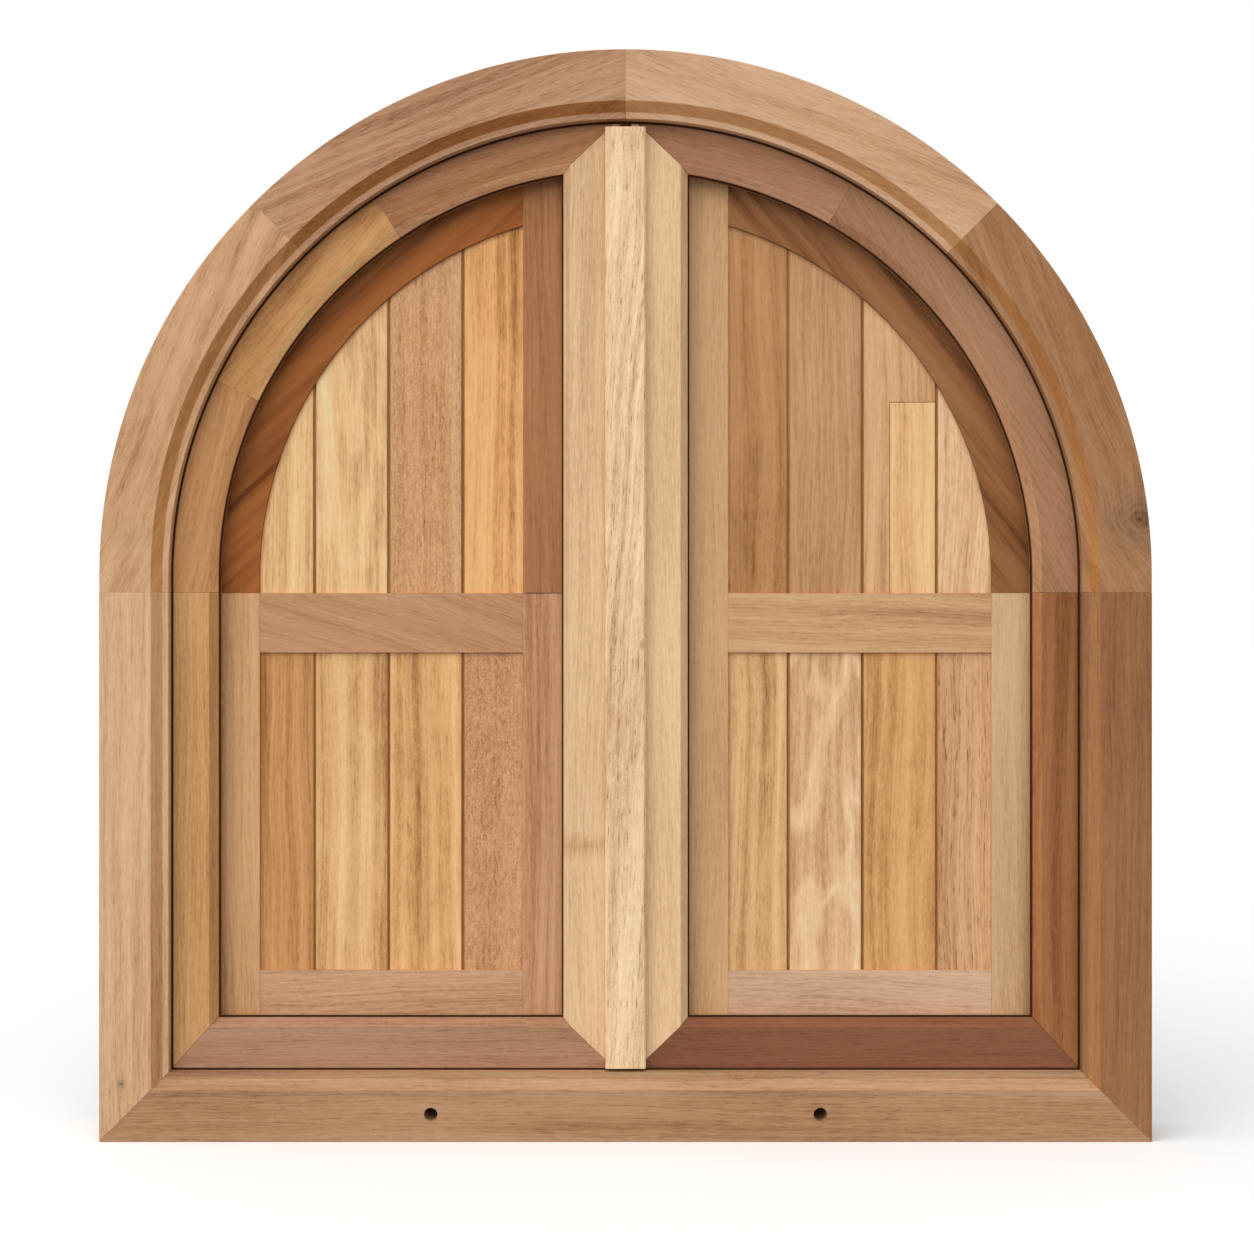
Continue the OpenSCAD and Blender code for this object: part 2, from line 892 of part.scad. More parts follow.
module right_shutter_hinge_seats() {
  placed(iron) on_right() at_shutter_hinges() shutter_seat_leaf();
}

module left_shutter_hinge_pins() {
  placed(iron) at_shutter_hinges() hinge_pin(shutter_hinge_h, shutter_knuckle_r, shutter_pin_r);
}

module right_shutter_hinge_pins() {
  placed(iron) on_right() at_shutter_hinges() hinge_pin(shutter_hinge_h, shutter_knuckle_r, shutter_pin_r);
}

module left_shutter_hinge_leaves() {
  placed(iron) at_shutter_hinges() shutter_leaf();
}

module right_shutter_hinge_leaves() {
  placed(iron) on_right() at_shutter_hinges() shutter_leaf();
}

// Bolt on the inner strip
module bolt_case() {
  placed(brass) difference() {
    translate([0, 0, bolt_z - case_h / 2]) linear_extrude(case_h) polygon([
      [-case_w / 2, strip_back],
      [case_w / 2, strip_back],
      [case_w / 2, case_back - case_chamfer],
      [case_w / 2 - case_chamfer, case_back],
      [case_chamfer - case_w / 2, case_back],
      [-case_w / 2, case_back - case_chamfer]
    ]);
    translate([0, rod_depth, bolt_z - case_h]) cylinder(r = rod_hole_r, h = 2 * case_h);
    translate([0, rod_depth, bolt_z]) rotate([-90, 0, 0]) cylinder(r = spindle_r + pin_play, h = case_t);
  }
}

module bolt_handle() {
  placed(brass) translate([0, case_back, bolt_z]) {
    translate([0, -spindle_depth, 0]) rotate([-90, 0, 0])
      cylinder(r = spindle_r, h = spindle_depth + grip_rise);
    translate([0, turning_gap, 0]) rotate([-90, 0, 0]) cylinder(r = collar_r, h = collar_t);
    translate([0, grip_rise, 0]) {
      rotate([0, 90, 0]) cylinder(r = grip_r, h = grip_l, center = true);
      for (x = [-grip_l / 2, grip_l / 2]) translate([x, 0, 0]) sphere(grip_r);
    }
  }
}

module rod(length) {
  cylinder(r = rod_r, h = length - rod_taper);
  translate([0, 0, length - rod_taper]) cylinder(r1 = rod_r, r2 = rod_r - rod_taper, h = rod_taper);
}

module bolt_upper_rod() {
  placed(brass) translate([0, rod_depth, bolt_z + rod_parting])
    rod(rod_ends[1] - bolt_z - rod_parting);
}

module bolt_lower_rod() {
  placed(brass) translate([0, rod_depth, bolt_z - rod_parting]) mirror([0, 0, 1])
    rod(bolt_z - rod_parting - rod_ends[0]);
}

// A loop for a rod on a flanged plate, standing on the face at this depth
module staple(seat, z) {
  translate([0, 0, z]) difference() {
    union() {
      translate([-keep_r - keep_flange, seat, 0]) cube([2 * (keep_r + keep_flange), keep_plate, keep_h]);
      translate([-keep_r, seat, 0]) cube([2 * keep_r, rod_depth - seat, keep_h]);
      translate([0, rod_depth, 0]) cylinder(r = keep_r, h = keep_h);
    }
    translate([0, rod_depth, -over]) cylinder(r = rod_hole_r, h = keep_h + 2 * over);
    translate([-reach, seat - reach, -over]) cube([2 * reach, reach, keep_h + 2 * over]);
  }
}

module bolt_guides() {
  placed(brass) for (end = [-1, 1])
    staple(strip_back, (bolt_z + end * case_h / 2 + rod_ends[(end + 1) / 2] - keep_h) / 2);
}

module bolt_keeps() {
  placed(brass) {
    staple(frame_depth, upper_keep_z);
    staple(frame_depth, lower_keep_z - keep_h);
  }
}

// Shutter fittings
module at_button() {
  translate([-button_x, frame_depth, fitting_z]) rotate([-90, 0, 0]) children();
}

module turn_button() {
  at_button() translate([0, 0, turning_gap]) difference() {
    union() {
      cylinder(r = button_r, h = button_t);
      translate([-button_r, 0, 0]) cube([2 * button_r, button_l - button_r, button_t]);
      translate([0, button_l - button_r, 0]) cylinder(r = button_r, h = button_t);
    }
    translate([0, 0, -over]) cylinder(r = screw_r + pin_play, h = button_t + 2 * over);
  }
}

module button_screw() {
  at_button() {
    cylinder(r = screw_r, h = button_t + 2 * turning_gap + screw_head_t);
    translate([0, 0, button_t + 2 * turning_gap]) cylinder(r = screw_head_r, h = screw_head_t);
  }
}

module shutter_pull() {
  translate([-pull_x, frame_depth, fitting_z]) rotate([-90, 0, 0]) {
    cylinder(r = pull_r, h = pull_base_t);
    cylinder(r = pull_neck_r, h = pull_l - pull_r);
    translate([0, 0, pull_l - pull_r]) sphere(pull_r);
  }
}

module left_turn_button() {
  placed(brass) turn_button();
}

module right_turn_button() {
  placed(brass) on_right() turn_button();
}

module left_button_screw() {
  placed(brass) button_screw();
}

module right_button_screw() {
  placed(brass) on_right() button_screw();
}

module left_shutter_pull() {
  placed(brass) shutter_pull();
}

module right_shutter_pull() {
  placed(brass) on_right() shutter_pull();
}

sill();
left_jamb();
right_jamb();
left_lower_arch();
left_upper_arch();
right_upper_arch();
right_lower_arch();
left_sash_stile();
left_sash_rail();
left_meeting_stile();
left_sash_lower_arch();
left_sash_middle_arch();
left_sash_upper_arch();
right_sash_stile();
right_sash_rail();
right_meeting_stile();
right_sash_lower_arch();
right_sash_upper_arch();
outer_cover_strip();
inner_cover_strip();
left_glass();
right_glass();
left_glazing_beads();
right_glazing_beads();
left_shutter_stile();
left_shutter_meeting_stile();
left_shutter_arch();
left_shutter_middle_rail();
left_shutter_bottom_rail();
left_upper_boards();
left_lower_boards();
right_shutter_stile();
right_shutter_meeting_stile();
right_shutter_arch();
right_shutter_middle_rail();
right_shutter_bottom_rail();
right_upper_boards();
right_lower_boards();
frame_hinge_leaves();
frame_hinge_pins();
left_sash_hinge_leaves();
right_sash_hinge_leaves();
left_shutter_hinge_seats();
right_shutter_hinge_seats();
left_shutter_hinge_pins();
right_shutter_hinge_pins();
left_shutter_hinge_leaves();
right_shutter_hinge_leaves();
bolt_case();
bolt_handle();
bolt_upper_rod();
bolt_lower_rod();
bolt_guides();
bolt_keeps();
left_turn_button();
right_turn_button();
left_button_screw();
right_button_screw();
left_shutter_pull();
right_shutter_pull();
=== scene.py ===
import math
from collections import namedtuple

import bmesh
import bpy
from bpy.props import FloatProperty, FloatVectorProperty, PointerProperty
from mathutils import Matrix, Vector


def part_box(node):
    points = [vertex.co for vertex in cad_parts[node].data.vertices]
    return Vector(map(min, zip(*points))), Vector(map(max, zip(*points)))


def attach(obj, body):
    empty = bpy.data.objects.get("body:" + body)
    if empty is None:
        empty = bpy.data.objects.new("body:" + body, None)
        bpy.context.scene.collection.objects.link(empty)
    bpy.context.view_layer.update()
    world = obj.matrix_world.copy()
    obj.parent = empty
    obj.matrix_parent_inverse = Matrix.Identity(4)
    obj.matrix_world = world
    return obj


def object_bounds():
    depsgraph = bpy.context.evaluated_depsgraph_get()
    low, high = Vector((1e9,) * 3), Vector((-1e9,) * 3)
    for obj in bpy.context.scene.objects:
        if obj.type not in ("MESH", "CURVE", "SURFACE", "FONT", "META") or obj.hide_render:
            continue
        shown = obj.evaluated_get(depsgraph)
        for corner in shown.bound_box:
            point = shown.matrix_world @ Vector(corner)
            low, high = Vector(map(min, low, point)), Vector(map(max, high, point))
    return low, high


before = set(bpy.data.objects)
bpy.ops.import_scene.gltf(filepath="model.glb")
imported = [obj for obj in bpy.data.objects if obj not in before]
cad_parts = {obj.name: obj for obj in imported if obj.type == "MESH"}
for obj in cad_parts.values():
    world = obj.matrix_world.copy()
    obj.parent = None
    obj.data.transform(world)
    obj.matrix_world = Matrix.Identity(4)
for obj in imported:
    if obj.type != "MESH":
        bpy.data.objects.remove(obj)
CAD_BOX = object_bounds()
CAD_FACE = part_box("sill")[0].y

bl_info = {
    "name": "Arched Window Finish",
    "version": (1, 0, 0),
    "blender": (4, 5, 0),
    "location": "View3D > Sidebar > Window",
    "description": "Finishes an arched timber window with shutters and sets it on a studio stage",
    "category": "Object",
}

# Height of the centre of the arch, which is a half circle over the whole width of the frame
ARCH_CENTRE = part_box("right_upper_arch")[1].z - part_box("sill")[1].x

# A face looks straight out of the window above FLAT, and is a chamfer between SLANTED and FLAT
FLAT = 0.9
SLANTED = 0.3

# Grain directions in degrees, from level toward upright, seen from outside
LEVEL = 0.0
UPRIGHT = 90.0

# A length of timber: its mean colour, the direction of its grain and the figure that it shows
Timber = namedtuple("Timber", "colour grain figure")

# A knot: its place on the face, its radius and how dark its heart is
Knot = namedtuple("Knot", "x z radius depth")

# A second length joined on above a height, whose darker colour is partly painted shade, and a soft dark band
# across a length at a height
Splice = namedtuple("Splice", "height colour")
Band = namedtuple("Band", "height half depth")

# How strongly each kind of figure shows in a length of timber
Figure = namedtuple("Figure", "rings ribbon streak waves fleck pores")
FIGURES = {
    "plain": Figure(0.04, 0.15, 0.3, 0.0, 0.08, 0.25),
    "fine": Figure(0.05, 0.2, 0.75, 0.0, 0.1, 0.4),
    "dashed": Figure(0.15, 0.75, 0.4, 0.15, 0.3, 1.4),
    "straight": Figure(0.1, 0.35, 0.6, 0.0, 0.12, 0.5),
    "striped": Figure(0.1, 0.8, 0.75, 0.0, 0.15, 0.6),
    "cathedral": Figure(0.4, 0.6, 0.45, 0.35, 0.2, 0.5),
    "ribbon": Figure(0.1, 1.1, 0.35, 0.3, 0.3, 0.7),
    "wavy": Figure(0.1, 0.55, 0.3, 0.95, 0.25, 0.4),
    "flecked": Figure(0.08, 0.4, 0.35, 0.15, 0.75, 0.9),
    "laced": Figure(0.05, 0.5, 0.2, 0.35, 1.05, 0.6),
    "pored": Figure(0.12, 0.45, 0.7, 0.0, 0.2, 0.6),
    "lined": Figure(0.06, 0.6, 0.8, 0.0, 0.2, 1.8),
    "banded": Figure(0.35, 1.15, 0.4, 0.1, 0.15, 0.4),
}

FRAME_TIMBER = {
    "sill": Timber("#af8663", LEVEL, "pored"),
    "left_jamb": Timber("#cea780", UPRIGHT, "straight"),
    "right_jamb": Timber("#946846", UPRIGHT, "fine"),
    "left_lower_arch": Timber("#c49870", 67.5, "cathedral"),
    "left_upper_arch": Timber("#b88d6c", 22.5, "pored"),
    "right_upper_arch": Timber("#c79e7b", -22.5, "straight"),
    "right_lower_arch": Timber("#a07450", -67.5, "pored"),
}
SASH_TIMBER = {
    "left_sash_stile": Timber("#c79663", UPRIGHT, "straight"),
    "left_sash_rail": Timber("#a87e62", LEVEL, "pored"),
    "left_meeting_stile": Timber("#dab68c", UPRIGHT, "fine"),
    "left_sash_lower_arch": Timber("#be8a5a", 77.0, "straight"),
    "left_sash_middle_arch": Timber("#c18c58", 49.0, "cathedral"),
    "left_sash_upper_arch": Timber("#ab7955", 17.0, "pored"),
    "right_sash_stile": Timber("#95623d", UPRIGHT, "striped"),
    "right_sash_rail": Timber("#7f523a", LEVEL, "pored"),
    "right_meeting_stile": Timber("#e3c093", UPRIGHT, "plain"),
    "right_sash_lower_arch": Timber("#a37858", -60.0, "fine"),
    "right_sash_upper_arch": Timber("#9f7253", -15.0, "pored"),
}
STRIP_TIMBER = {
    "outer_cover_strip": Timber("#e9c69c", 86.0, "dashed"),
    "inner_cover_strip": Timber("#dbb68a", UPRIGHT, "fine"),
}
BEAD_TIMBER = {
    "left_glazing_beads": Timber("#b98c62", UPRIGHT, "straight"),
    "right_glazing_beads": Timber("#b98c62", UPRIGHT, "straight"),
}
SHUTTER_TIMBER = {
    "left_shutter_stile": Timber("#dba875", UPRIGHT, "fine"),
    "left_shutter_meeting_stile": Timber("#d29d75", UPRIGHT, "striped"),
    "left_shutter_arch": Timber("#a35f29", 42.0, "banded"),
    "left_shutter_middle_rail": Timber("#c6946b", -18.0, "straight"),
    "left_shutter_bottom_rail": Timber("#d1a37e", LEVEL, "pored"),
    "right_shutter_stile": Timber("#d6b084", UPRIGHT, "plain"),
    "right_shutter_meeting_stile": Timber("#d9ac7c", UPRIGHT, "plain"),
    "right_shutter_arch": Timber("#98643c", -53.0, "banded"),
    "right_shutter_middle_rail": Timber("#d0a275", LEVEL, "pored"),
    "right_shutter_bottom_rail": Timber("#d9b391", LEVEL, "straight"),
}
# Boards from the meeting stile to the hinge stile
BOARD_TIMBER = {
    "left_upper_boards": (
        Timber("#efb374", UPRIGHT, "ribbon"),
        Timber("#d8a372", UPRIGHT, "flecked"),
        Timber("#f4c58e", UPRIGHT, "cathedral"),
        Timber("#f5c68c", UPRIGHT, "striped"),
    ),
    "left_lower_boards": (
        Timber("#ce986a", UPRIGHT, "laced"),
        Timber("#e5ae74", UPRIGHT, "ribbon"),
        Timber("#e4b179", UPRIGHT, "ribbon"),
        Timber("#d1975f", UPRIGHT, "striped"),
    ),
    "right_upper_boards": (
        Timber("#bd8856", UPRIGHT, "ribbon"),
        Timber("#ce9d6f", UPRIGHT, "fine"),
        Timber("#dcab79", UPRIGHT, "striped"),
        Timber("#f0c595", UPRIGHT, "striped"),
    ),
    "right_lower_boards": (
        Timber("#e0b079", UPRIGHT, "ribbon"),
        Timber("#e9bd8e", UPRIGHT, "wavy"),
        Timber("#dba369", UPRIGHT, "ribbon"),
        Timber("#ddac7d", UPRIGHT, "lined"),
    ),
}
# The let-in repair piece: its panel, the number of its board and its timber
REPAIRED_PANEL = "right_upper_boards"
REPAIRED_BOARD = 2
REPAIR_PIECE = Timber("#edba82", UPRIGHT, "striped")
# Painted shade in the joints: a darker colour on the edges of the boards, seen in their joints
JOINT_PAINTED_SHADE = Timber("#b47f4c", UPRIGHT, "straight")
KNOTS = {
    "left_lower_arch": Knot(-0.473, 0.576, 0.0055, 0.2),
    "right_lower_arch": Knot(0.488, 0.591, 0.0115, 0.46),
    "left_jamb": Knot(-0.479, 0.055, 0.0015, 0.6),
}
# The upper length of the left shutter's meeting stile: a joint, and a darker colour that is partly painted
# shade at the top of the stile
SPLICES_AND_PAINTED_SHADE = {"left_shutter_meeting_stile": Splice(0.522, "#b57b51")}
BANDS = {"left_meeting_stile": Band(0.279, 0.014, 0.22)}
# Painted light and shade: colours of the chamfers that differ from the face of their piece, lighter where
# light falls on a chamfer and darker where it is in shade
CHAMFER_PAINTED_LIGHT_AND_SHADE = {
    "left_jamb": "#cb9b6e",
    "right_jamb": "#a16f46",
    "left_lower_arch": "#bd8450",
    "left_upper_arch": "#ad7242",
    "right_upper_arch": "#c48d5d",
    "right_lower_arch": "#a87142",
    "left_sash_lower_arch": "#e0a66f",
    "left_sash_middle_arch": "#fdc485",
    "left_sash_upper_arch": "#f8c195",
    "right_sash_upper_arch": "#d9a580",
    "right_sash_lower_arch": "#bc8b67",
    "right_sash_stile": "#a87148",
}
HINGE_NODES = (
    "frame_hinge_leaves", "frame_hinge_pins", "left_sash_hinge_leaves", "right_sash_hinge_leaves",
    "left_shutter_hinge_seats", "right_shutter_hinge_seats", "left_shutter_hinge_pins",
    "right_shutter_hinge_pins", "left_shutter_hinge_leaves", "right_shutter_hinge_leaves",
)
BOLT_NODES = ("bolt_case", "bolt_handle", "bolt_upper_rod", "bolt_lower_rod", "bolt_guides", "bolt_keeps")
FITTING_NODES = (
    "left_turn_button", "right_turn_button", "left_button_screw", "right_button_screw",
    "left_shutter_pull", "right_shutter_pull",
)

# Number of the first timber of each group; each length takes the next one, for a figure of its own
FRAME_SEED = 1
SASH_SEED = 11
STRIP_SEED = 31
BEAD_SEED = 41
SHUTTER_SEED = 51
BOARD_SEED = 71
PANEL_SEED_STEP = 7
# How far the figure moves along, into and across the grain from one number to the next
SEED_STEP = (3.7, 1.9, 2.3)

# A pattern of noise: its rates along, into and across the grain, and its detail, roughness and twist
Noise = namedtuple("Noise", "rates detail roughness twist", defaults=(2.0, 0.5, 0.0))
DRIFT = Noise((1.6, 6.0, 6.0))
RINGS = Noise((1.3, 11.0, 13.0), 1.0)
RIBBON = Noise((1.3, 24.0, 88.0), 1.6)
STREAK = Noise((5.0, 150.0, 360.0), 3.0, 0.65)
FLAMES = Noise((10.0, 9.0, 24.0))
FLECK = Noise((250.0, 300.0, 430.0), 1.5, 0.55, 1.6)
SPECK = Noise((110.0, 300.0, 520.0), 2.0, 0.6)
SHADE = Noise((3.0, 5.0, 9.0), 1.0)
FIBRE = Noise((34.0, 450.0, 640.0), 3.0, 0.65)
PORES = Noise((55.0, 480.0, 640.0), 1.0)
BAND_EDGE = Noise((40.0, 40.0, 60.0))
HAZE = Noise((9.0, 9.0, 9.0))
TARNISH = Noise((60.0, 60.0, 60.0), 4.0, 0.6)
RUBBED = Noise((300.0, 1500.0, 1500.0))
DUST = Noise((220.0, 220.0, 220.0), 3.0)

# How much each pattern changes the tone of timber in a figure of strength 1
GAIN = Figure(rings=0.55, ribbon=1.3, streak=0.85, waves=0.55, fleck=1.15, pores=0.2)
# Patterns that every length shows, the specks more so where it is flecked
SHADE_GAIN = 0.55
FIBRE_GAIN = 0.55
SPECK_GAIN = 0.3
# How far the grain wanders across its own line
WANDER = 0.05
# Growth rings: how often they repeat, how sharp they are and their mean
RING_TURNS = 16.0
RING_POWER = 1.6
RING_MEAN = 0.4
# Flames: the noise that they take up round its middle, and their tones in and beside it
FLAME_WIDTH = 0.1
FLAME_TONES = (0.5, -0.15)
# Noise at which a pore begins and is deepest
PORE_LEVELS = (0.1, 0.2)

# A knot, with lengths in radii: how soon it dies out behind the face, how ragged its edge is, how far it
# reaches, how steeply it fades, how far it bends the grain, how close its rings are and how wide its heart is
KNOT_TAPER = 0.4
KNOT_RAGGED = 0.8
KNOT_RAGGED_RATE = 0.55
KNOT_REACH = 4.5
KNOT_FADE = 1.3
KNOT_BEND = 1.75
KNOT_RINGS = 3.9
HEART_REACH = 1.1
# How dark the heart and the rings are and how much red, green and blue the knot takes, as shares of its depth
HEART_DEPTH = 0.55
RINGS_DEPTH = 0.6
KNOT_DULL = (0.6, 0.38, 0.0)

# A joint of two lengths: how far the figure jumps, and the hairline's half width with its fade, and tones
SPLICE_JUMP = 0.31
SPLICE_LINE = (0.0004, 0.0012)
SPLICE_TONES = (0.55, 1.0)
# How ragged the edge of a dark band is, as a share of its half width
BAND_RAGGED = 0.4

# Colour scales: places from dark to light with the shares of the mean red, green and blue there
WHOLE = (1.0, 1.0, 1.0)
MIDDLE = 0.5
TIMBER_SCALE = (
    (0.0, (0.42, 0.32, 0.24)),
    (0.22, (0.72, 0.65, 0.58)),
    (MIDDLE, WHOLE),
    (1.0, (1.3, 1.45, 1.62)),
)
METAL_SCALE = (
    (0.1, (0.55, 0.55, 0.55)),
    (MIDDLE, WHOLE),
    (0.9, (1.35, 1.35, 1.35)),
)
# The seals' scale: dark rubber that also stands in for painted shade in the gaps
SEAL_AND_GAP_SHADE_SCALE = (
    (0.0, WHOLE),
    (0.35, (1.5, 1.5, 1.5)),
)

# Noise over which a surface goes from one roughness to the other
FIBRE_SPAN = (-0.25, 0.25)
CLOUD_SPAN = (-0.3, 0.3)
# How far the roughness of timber and metal swings about its setting
TIMBER_SWING = (-0.07, 0.09)
METAL_SWING = (0.12, -0.1)
TIMBER_BUMP = 0.55

# Glass: its colour, the slants over which it begins to show and how much it shows there
GLASS_COLOUR = (0.03, 0.05, 0.04)
GLASS_IOR = 1.5
GLASS_SLANT = (0.45, 1.0)
GLASS_SHOWS = (0.02, 0.6)
GLASS_ROUGHNESS = (0.02, 0.06)

# A metal finish: its name, how metallic it is and its roughness
Metal = namedtuple("Metal", "name metallic roughness")
HINGE_STEEL = Metal("blackened_steel", 0.75, 0.45)
SCREW_STEEL = Metal("screw_steel", 0.75, 0.4)
BOLT_BRASS = Metal("aged_brass", 0.9, 0.36)
FITTING_BRASS = Metal("rubbed_brass", 0.9, 0.32)
SCREW_BRASS = Metal("screw_brass", 0.9, 0.34)
TARNISH_GAIN = 1.4
RUBBED_GAIN = 0.5
METAL_BUMP = 0.25
METAL_RELIEF = 0.0001

RUBBER_ROUGHNESS = (0.7, 0.9)
RUBBER_SHEEN = 0.1

# Softened edges: gaps that are joined first, steps across an edge and the least angle of an edge
WELD_GAP = 0.00001
ARRIS_STEPS = 2
ARRIS_ANGLE = math.radians(32.0)

# Plates of a fitting: their thickness and height, how many screws stand in a row, and how far these are from
# the plate's free edge and its ends
Plate = namedtuple("Plate", "thickness height screws edge end")
SASH_LEAF = Plate(0.002, 0.08, 3, 0.01055, 0.011)
SHUTTER_LEAF = Plate(0.002, 0.06, 3, 0.00855, 0.009)
BOLT_PLATE = Plate(0.003, 0.026, 2, 0.0035, 0.006)
CASE_INSET = 0.0075
# Radius of the bolt's screws, as a share of the hinges' screws
BOLT_SCREW = 0.8

# A screw head, in radii: half its slot, its height, and the radius and height of the slot's floor
SLOT_HALF = 0.16
HEAD_HEIGHT = 0.45
SLOT_FLOOR_RADIUS = 0.97
SLOT_FLOOR_HEIGHT = 0.16
HEAD_SIDES = 24
HEAD_RINGS = 12
# Turn of the first slot and from each slot to the next, in degrees
FIRST_TURN = 20.0
NEXT_TURN = 37.0

# Points along the arch of a seal, and how far the frame's seal reaches under the lip, in widths
ARC_STEPS = 96
SEAL_COVERED = 2.0

SIDES = {"left": -1, "right": 1}

FLOOR_HALF = 40.0
FLOOR_GAP = 0.0002
FLOOR_ROUGHNESS = 0.9
SENSOR_WIDTH = 36.0


def linear(colour):
    """The linear light value of a colour written as #rrggbb, by the curve of the sRGB standard."""
    parts = [int(colour[i:i + 2], 16) / 255 for i in (1, 3, 5)]
    return tuple(p / 12.92 if p <= 0.04045 else ((p + 0.055) / 1.055) ** 2.4 for p in parts)


class ArchedWindowTimber(bpy.types.PropertyGroup):
    """Finish of the timber"""

    edge: FloatProperty(
        name="Arris", description="Width of the softened edges",
        default=0.0007, min=0.0001, max=0.003, unit="LENGTH")
    contrast: FloatProperty(
        name="Contrast", description="Strength of the grain's colours", default=1.0, min=0.0, max=2.0)
    gloss: FloatProperty(
        name="Roughness", description="Roughness of the oiled surface",
        default=0.5, min=0.1, max=1.0, subtype="FACTOR")
    sheen: FloatProperty(
        name="Sheen", description="Strength of the oil's reflection",
        default=0.08, min=0.0, max=1.0, subtype="FACTOR")
    relief: FloatProperty(
        name="Relief", description="Depth of the pores",
        default=0.00025, min=0.0, max=0.002, unit="LENGTH")
    board: FloatProperty(
        name="Board", description="Width of one shutter board",
        default=0.0725, min=0.04, max=0.12, unit="LENGTH")
    board_shift: FloatProperty(
        name="Board shift", description="Middle joint of the boards from the middle of the panel",
        default=0.003, min=-0.01, max=0.01, unit="LENGTH")
    repair_width: FloatProperty(
        name="Repair width", description="Width of the let-in repair piece",
        default=0.046, min=0.02, max=0.06, unit="LENGTH")
    repair_top: FloatProperty(
        name="Repair top", description="Height of the top of the repair piece",
        default=0.709, min=0.6, max=0.8, unit="LENGTH")


class ArchedWindowMetal(bpy.types.PropertyGroup):
    """Finish of the hardware"""

    brass: FloatVectorProperty(
        name="Brass", description="Colour of the bolt and fittings",
        default=(0.52, 0.36, 0.15), subtype="COLOR", min=0.0, max=1.0)
    iron: FloatVectorProperty(
        name="Steel", description="Colour of the blackened hinges",
        default=(0.06, 0.055, 0.05), subtype="COLOR", min=0.0, max=1.0)
    edge: FloatProperty(
        name="Edge", description="Width of the softened edges",
        default=0.0004, min=0.0001, max=0.002, unit="LENGTH")
    screw: FloatProperty(
        name="Screw head", description="Radius of the screw heads",
        default=0.0034, min=0.002, max=0.006, unit="LENGTH")


class ArchedWindowSealsAndGapShade(bpy.types.PropertyGroup):
    """Size and colour of the seals, whose dark colour also stands in for painted shade in the gaps"""

    # The seals' dark colour also stands in for painted shade in the gaps between lip and sash and round the
    # glass
    colour: FloatVectorProperty(
        name="Rubber", description="Colour of the seals",
        default=(0.045, 0.014, 0.003), subtype="COLOR", min=0.0, max=1.0)
    width: FloatProperty(
        name="Width", description="How far the frame's seal shows past its lip",
        default=0.0017, min=0.0005, max=0.005, unit="LENGTH")
    thickness: FloatProperty(
        name="Thickness", description="Thickness of the seals",
        default=0.0016, min=0.0005, max=0.004, unit="LENGTH")
    stop_depth: FloatProperty(
        name="Stop depth", description="Depth of the frame's seal",
        default=0.0202, min=0.01, max=0.03, unit="LENGTH")
    glass_depth: FloatProperty(
        name="Glass depth", description="Depth of the seals on the glass",
        default=0.0342, min=0.02, max=0.05, unit="LENGTH")
    lip_edge: FloatProperty(
        name="Lip edge", description="Distance of the frame's lip from the middle",
        default=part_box("right_jamb")[0].x, min=0.3, max=0.7, unit="LENGTH")
    foot: FloatProperty(
        name="Foot", description="Height of the frame's lip over the sill",
        default=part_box("sill")[1].z, min=0.03, max=0.1, unit="LENGTH")
    arch: FloatProperty(
        name="Arch", description="Height of the centre of the arch",
        default=ARCH_CENTRE, min=0.4, max=1.0, unit="LENGTH")
    sight: FloatVectorProperty(
        name="Sight", description="Radius, meeting edge and foot of the opening in a sash", size=3,
        default=(
            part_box("right_sash_stile")[0].x,
            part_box("right_meeting_stile")[1].x,
            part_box("right_sash_rail")[1].z,
        ),
        unit="LENGTH")


class ArchedWindowStage(bpy.types.PropertyGroup):
    """Floor, light and camera"""

    floor: FloatProperty(
        name="Floor", description="Lightness of the floor",
        default=0.92, min=0.0, max=1.0, subtype="FACTOR")
    bounce: FloatProperty(
        name="Bounce", description="Lightness of the floor as it lights the window",
        default=0.35, min=0.0, max=1.0, subtype="FACTOR")
    sky: FloatProperty(
        name="Sky", description="Strength of the even light", default=0.4, min=0.0, max=2.0)
    key: FloatProperty(
        name="Key light", description="Strength of the key light", default=3.3, min=0.0, max=20.0)
    softness: FloatProperty(
        name="Softness", description="Width of the key light, as an angle",
        default=1.75, min=0.0, max=3.0, subtype="ANGLE")
    toward: FloatVectorProperty(
        name="Toward light", description="Direction from the window to the key light",
        default=(-0.36, -0.62, 0.7), subtype="DIRECTION")
    distance: FloatProperty(
        name="Distance", description="Camera to the face of the frame",
        default=1.9, min=1.0, max=5.0, unit="LENGTH")
    eye: FloatVectorProperty(
        name="Eye", description="Sideways place and height of the camera", size=2,
        default=(0.0014, 0.489), unit="LENGTH")
    view_width: FloatProperty(
        name="View width", description="Width of the picture at the face of the frame",
        default=1.1909, min=0.5, max=4.0, unit="LENGTH")


